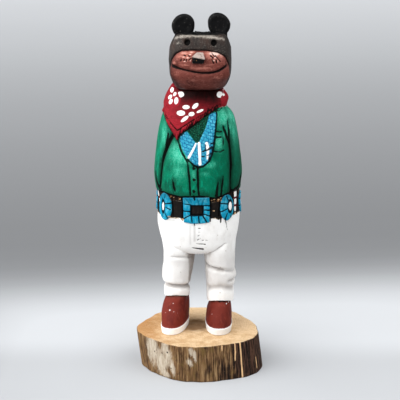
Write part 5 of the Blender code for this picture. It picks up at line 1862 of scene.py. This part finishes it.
def side_depth(turn, height, marks):
    """How far in the log's side lies, in metres, between its ridges, its bark and its marks."""
    x, y = np.sin(turn) * LOG_ROUND, np.cos(turn) * LOG_ROUND
    ridges = rough(x, y, sizes=(2.2, 2.2), seed=11) + 0.5 * rough(x, y, sizes=(0.9, 0.9), seed=12)
    broken = rough(x, height * 0.25 + y, sizes=(3.0, 3.0), seed=13)
    flakes = 0.4 + 0.5 * np.abs(ridges) + 0.3 * broken
    depth = RIDGE_DEPTH * (0.5 + 0.5 * ridges) + BARK_DEPTH * marks["bark"] * flakes
    depth = depth - SPLIT_LIFT * ramp(marks["split"], *LINE_EDGE)
    depth = depth + KNOT_DEPTH * ramp(marks["knot"], -0.5, 0.4)
    depth = depth * ramp(marks["grey"], 3.0, -1.0) * 0.7 + depth * 0.3
    return np.maximum(depth, 0) / MILLIMETRES


def sawn_top(edge):
    """Rings of points from the top's edge in to its middle, with saw marks and torn wood."""
    middle = np.array([edge[:, 0].mean(), edge[:, 1].mean(), LOG_THICKNESS])
    shares = np.linspace(1, 0, LOG_TOP_RINGS + 1)[1:-1] ** 0.85
    rings = middle + (edge - middle) * shares[:, None, None]
    x, y = rings[:, :, 0], rings[:, :, 1]
    across = x * math.cos(SAW_ANGLE) + y * math.sin(SAW_ANGLE)
    along = y * math.cos(SAW_ANGLE) - x * math.sin(SAW_ANGLE)
    waver = rough(along, across, sizes=(0.03, 0.02), seed=15)
    saw = np.sin((across * MILLIMETRES / SAW_SPACING + waver) * 2 * math.pi)
    torn = rough(x, y, sizes=(0.0016, 0.0016), seed=16)
    rings[:, :, 2] -= SAW_DEPTH / MILLIMETRES * (0.5 + 0.22 * saw + 0.5 * torn).clip(0, 1)
    return rings


def make_log():
    degrees = np.linspace(0, 360, LOG_COLUMNS + 1)[:-1]
    side = side_rings(degrees)
    around, height = np.broadcast_to(degrees, side.shape[:2]), side[:, :, 2] * MILLIMETRES
    marks = log_marks(around, height)
    turn = np.radians(around)
    outward = np.stack([np.sin(turn), -np.cos(turn), np.zeros(turn.shape)], axis=2)
    ease = np.concatenate([[0.3], np.ones(LOG_SIDE_RINGS), [0.8]])[:, None, None]
    side = side - outward * side_depth(turn, height, marks)[:, :, None] * ease
    points = np.concatenate([side, sawn_top(side[-1])])
    values = {name: np.full(points.shape[:2], -FAR) for name in LOG_VALUES}
    values["bark"] = np.zeros(points.shape[:2])
    values["side"] = np.zeros(points.shape[:2])
    values["side"][: len(side) - 1] = 1.0
    for name, array in marks.items():
        values[name][: len(side)] = array
    log = grid_object("weathered_log", points, values)
    finish = log_finish()
    log.data.materials.append(finish.material)
    log = grown(log, fibre_tree(finish.material), FIBRES)
    smooth_shaded(log, 60)
    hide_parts("log_slice")
    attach(log, "root")
    return log


def fibre_tree(material):
    """Torn fibres of one size, all lying one way on the sawn top."""
    tree = Growth("torn_fibres", [
        ("Density", "Float", 200000.0), ("Length", "Float", 0.0008), ("Width", "Float", 0.00015),
        ("Grain", "Float", 0.0), ("Seed", "Int", 2),
    ])
    length, width = tree.given["Length"], tree.given["Width"]
    upward = tree.along(tree.node("GeometryNodeInputNormal"), "Z")
    settings = {"data_type": "FLOAT", "operation": "GREATER_THAN"}
    on_top = tree.node("FunctionNodeCompare", settings, {0: upward, 1: 0.8})
    inputs = {
        "Mesh": tree.given["Geometry"], "Selection": on_top, "Density": tree.given["Density"],
        "Seed": tree.given["Seed"],
    }
    points = tree.node("GeometryNodeDistributePointsOnFaces", {"distribute_method": "RANDOM"}, inputs)
    sliver = tree.node("GeometryNodeMeshIcoSphere", None, {"Radius": 0.5, "Subdivisions": 1}, "Mesh")
    turn = tree.node("ShaderNodeCombineXYZ", None, {0: 0.0, 1: 0.0, 2: tree.given["Grain"]})
    scale = tree.node("ShaderNodeCombineXYZ", None, {0: length, 1: width, 2: width * 1.4})
    fibres = tree.placed({"Points": points, "Instance": sliver, "Rotation": turn, "Scale": scale})
    tree.complete(tree.stored(fibres, ("grey", "split", "knot"), -FAR), material)
    return tree


# The log's colours, as they show on a screen
LOG_PAINTS = {
    "top": (203, 170, 128),
    "top_light": (226, 198, 160),
    "top_dark": (158, 114, 70),
    "top_tan": (186, 138, 88),
    "top_speck": (104, 70, 42),
    "stain": (104, 70, 42),
    "side": (114, 85, 56),
    "side_dark": (50, 34, 24),
    "side_light": (156, 128, 92),
    "olive": (104, 84, 44),
    "grey": (192, 180, 162),
    "grey_dark": (128, 108, 84),
    "bark": (78, 54, 42),
    "bark_dark": (24, 17, 14),
    "split": (216, 176, 130),
    "knot": (34, 24, 18),
}


def log_finish():
    """Sawn wood on top, weathered wood and bark on the side."""
    f = Finish("weathered_log_wood", LOG_PAINTS)
    speckle = f.noise((0.8, 0.8, 0.8), 4.0, 0.7)
    blotch = f.noise((7.0, 5.0, 7.0), 3.0, 0.55)
    fibres = f.noise((2.2, 0.7, 0.7), 3.0, 0.7, 0.6)
    pits = f.noise((0.9, 0.6, 0.8), 3.0, 0.7)
    rightwards, backwards = f.along(f.place, "X"), f.along(f.place, "Y")
    centre = f.vector("SUBTRACT", {0: f.place, 1: (*LOG_HEART, LOG_THICKNESS * MILLIMETRES)})
    warp = f.noise((14.0, 14.0, 14.0), 2.0) * 5.0
    radius = f.vector("LENGTH", {0: centre}, "Value") + warp
    rings = f.node("ShaderNodeMath", {"operation": "SINE"}, {0: radius * 3.2})
    stain_and_shadow_distance = f.vector("DISTANCE", {0: f.place, 1: STAIN_AND_SHADOW_PLACE}, "Value")
    stain_and_shadow_distance = stain_and_shadow_distance + (blotch - 0.5) * 12.0 + (speckle - 0.5) * 8.0
    top = f.coated("top", [
        # Tan towards the left, partly the wood's colour and partly painted shade
        ("top_light", blotch, 0.35, 0.65, 1.0), ("top_tan", rightwards + blotch * 30.0, 0.0, -36.0, 0.9),
        # A painted highlight towards the back right
        ("top_light", rightwards + backwards + blotch * 20.0, 20.0, 50.0, 0.8),
        ("top_dark", rings, 0.4, 1.0, 0.16), ("top_dark", speckle, 0.5, 0.68, 0.75),
        ("top_speck", fibres, 0.6, 0.72, 0.7), ("top_light", fibres, 0.4, 0.28, 0.8),
        # The dark patch between the feet, partly a stain and partly a painted shadow of the legs
        ("top_speck", pits, 0.6, 0.7, 0.75), ("stain", stain_and_shadow_distance, STAIN_AND_SHADOW_EDGE, STAIN_AND_SHADOW_CORE, 0.72),
    ])
    # Painted light: the top darker towards the front and lighter towards the back
    top = f.darker(top, 0.87 + f.step(backwards, -48.0, 40.0) * 0.25)

    streaks = f.noise((1.6, 1.6, 26.0), 4.0, 0.65)
    narrow = f.noise((0.6, 0.6, 12.0), 3.0, 0.6)
    patchy = f.noise((5.0, 5.0, 9.0), 4.0, 0.65)
    broad = f.noise((7.0, 7.0, 16.0), 3.0, 0.6, 0.5)
    chalk = f.noise((0.7, 0.7, 2.2), 4.0, 0.7)
    side = f.coated("side", [
        ("side_dark", streaks, 0.44, 0.66, 0.9), ("side_light", streaks, 0.48, 0.34, 0.8),
        ("olive", patchy, 0.5, 0.7, 0.6), ("side_dark", broad, 0.5, 0.72, 0.85),
        ("side_dark", narrow, 0.55, 0.75, 0.4), ("side_light", chalk, 0.62, 0.74, 0.7),
    ])
    grey = f.coated("grey", [("grey_dark", narrow, 0.42, 0.7, 0.8), ("grey_dark", streaks, 0.5, 0.7, 0.5)])
    bark = f.coated("bark", [
        ("bark_dark", streaks, 0.4, 0.6, 1.0), ("bark_dark", patchy, 0.5, 0.7, 0.7),
        ("side_light", narrow, 0.6, 0.78, 0.6), ("split", chalk, 0.66, 0.76, 0.6),
    ])
    bare = f.kept("grey") + (patchy - 0.5) * 5.0 + (narrow - 0.5) * 7.0 + (chalk - 0.5) * 4.0
    covered = f.kept("bark") + (streaks - 0.5) * 1.1 + (broad - 0.5) * 0.6
    side = f.coated(side, [
        (grey, bare, -0.6, 1.6, 1.0), (bark, covered, 0.35, 0.7, 1.0),
        ("split", f.kept("split") + (narrow - 0.5) * 0.9, -0.12, 0.15, 1.0),
        ("knot", f.kept("knot") + (speckle - 0.5) * 0.8, -0.2, 0.25, 1.0),
    ])
    on_side = f.step(f.kept("side"), 0.3, 0.7)
    colour = f.mix(top, side, on_side)
    colour = f.darker(colour, 0.9 + speckle * 0.2)
    f.feed("Base Color", colour)
    f.feed("Roughness", 0.8 + 0.2 * (speckle - 0.5))
    f.feed("Specular IOR Level", 0.1)
    lift = on_side * (streaks + narrow * 0.6) + speckle * 0.6 + fibres * 0.6
    f.feed("Normal", f.bump(lift, WOOD_RELIEF))
    return f


def make_stage():
    """A plain flat floor whose paint greys with distance into a backdrop, a painted fall of light, shifted on
    its right.
    """
    mesh = bpy.data.meshes.new("studio_floor")
    corners = [(x * FLOOR_HALF, y * FLOOR_HALF, 0) for x, y in ((-1, -1), (1, -1), (1, 1), (-1, 1))]
    mesh.from_pydata(corners, [], [(0, 1, 2, 3)])
    floor = add_object("studio_floor", mesh)
    f = Finish("studio_paper")
    across, back = f.along(f.metres, "X"), f.along(f.metres, "Y")
    sideways = (across * BACKDROP_NARROWING).maths("ABSOLUTE").maths("POWER", BACKDROP_SQUARENESS)
    beyond = back.maths("ABSOLUTE").maths("POWER", BACKDROP_SQUARENESS)
    away = (sideways + beyond).maths("POWER", 1 / BACKDROP_SQUARENESS)
    away = away - across.most(-0.5).least(0.5) * BACKDROP_TILT
    soft = f.noise((400.0, 400.0, 400.0), 2.0)
    grey = BACKDROP[0][1]
    for (here, before), (there, after) in zip(BACKDROP[:-1], BACKDROP[1:]):
        grey = grey + (after - before) * f.even_step(away, here, there)
    # Painted shade: the floor darker in front of the object
    grey = grey * (1 - FRONT_SHADE * f.step(back, FRONT_SHADE_FROM, FRONT_SHADE_TO))
    colour = f.darker(PAPER_TINT, grey * (0.99 + soft * 0.02) * FLOOR_SHARE)
    f.feed("Base Color", colour)
    f.feed("Roughness", 0.9)
    f.feed("Specular IOR Level", 0.0)
    # Painted light: the floor glows with its own grey, which softens the shadows on it
    f.feed("Emission Color", f.darker(PAPER_TINT, grey))
    f.feed("Emission Strength", BACKDROP_GLOW)
    mesh.materials.append(f.material)


def make_light():
    """Soft lights from the turns and rises of LIGHTS, and a faint light from all round."""
    for name, turn, rise, spread, strength in LIGHTS:
        sun = bpy.data.lights.new(name, "SUN")
        sun.energy = strength
        sun.angle = math.radians(spread)
        lamp = bpy.data.objects.new(name, sun)
        swing, up = math.radians(turn), math.radians(rise)
        way = Vector((math.sin(swing) * math.cos(up), -math.cos(swing) * math.cos(up), math.sin(up)))
        lamp.rotation_euler = way.to_track_quat("Z", "Y").to_euler()
        bpy.context.scene.collection.objects.link(lamp)
    world = bpy.data.worlds.new("studio")
    world.use_nodes = True
    shade = world.node_tree.nodes["Background"]
    shade.inputs["Color"].default_value = (1.0, 1.0, 1.0, 1.0)
    shade.inputs["Strength"].default_value = AIR_LIGHT
    bpy.context.scene.world = world


def make_camera():
    camera = bpy.data.cameras.new("camera")
    camera.sensor_width = CAMERA_SENSOR
    camera.lens = CAMERA_LENS
    camera.clip_start, camera.clip_end = 0.01, 40.0
    view = bpy.data.objects.new("camera", camera)
    view.location = CAMERA_PLACE
    view.rotation_euler = (math.pi / 2 - CAMERA_DOWN, 0.0, 0.0)
    bpy.context.scene.collection.objects.link(view)
    bpy.context.scene.camera = view


def main():
    make_camera()
    make_stage()
    make_light()
    make_bear()
    make_log()
    bpy.context.scene.view_settings.view_transform = "Standard"
    bpy.context.view_layer.update()


main()
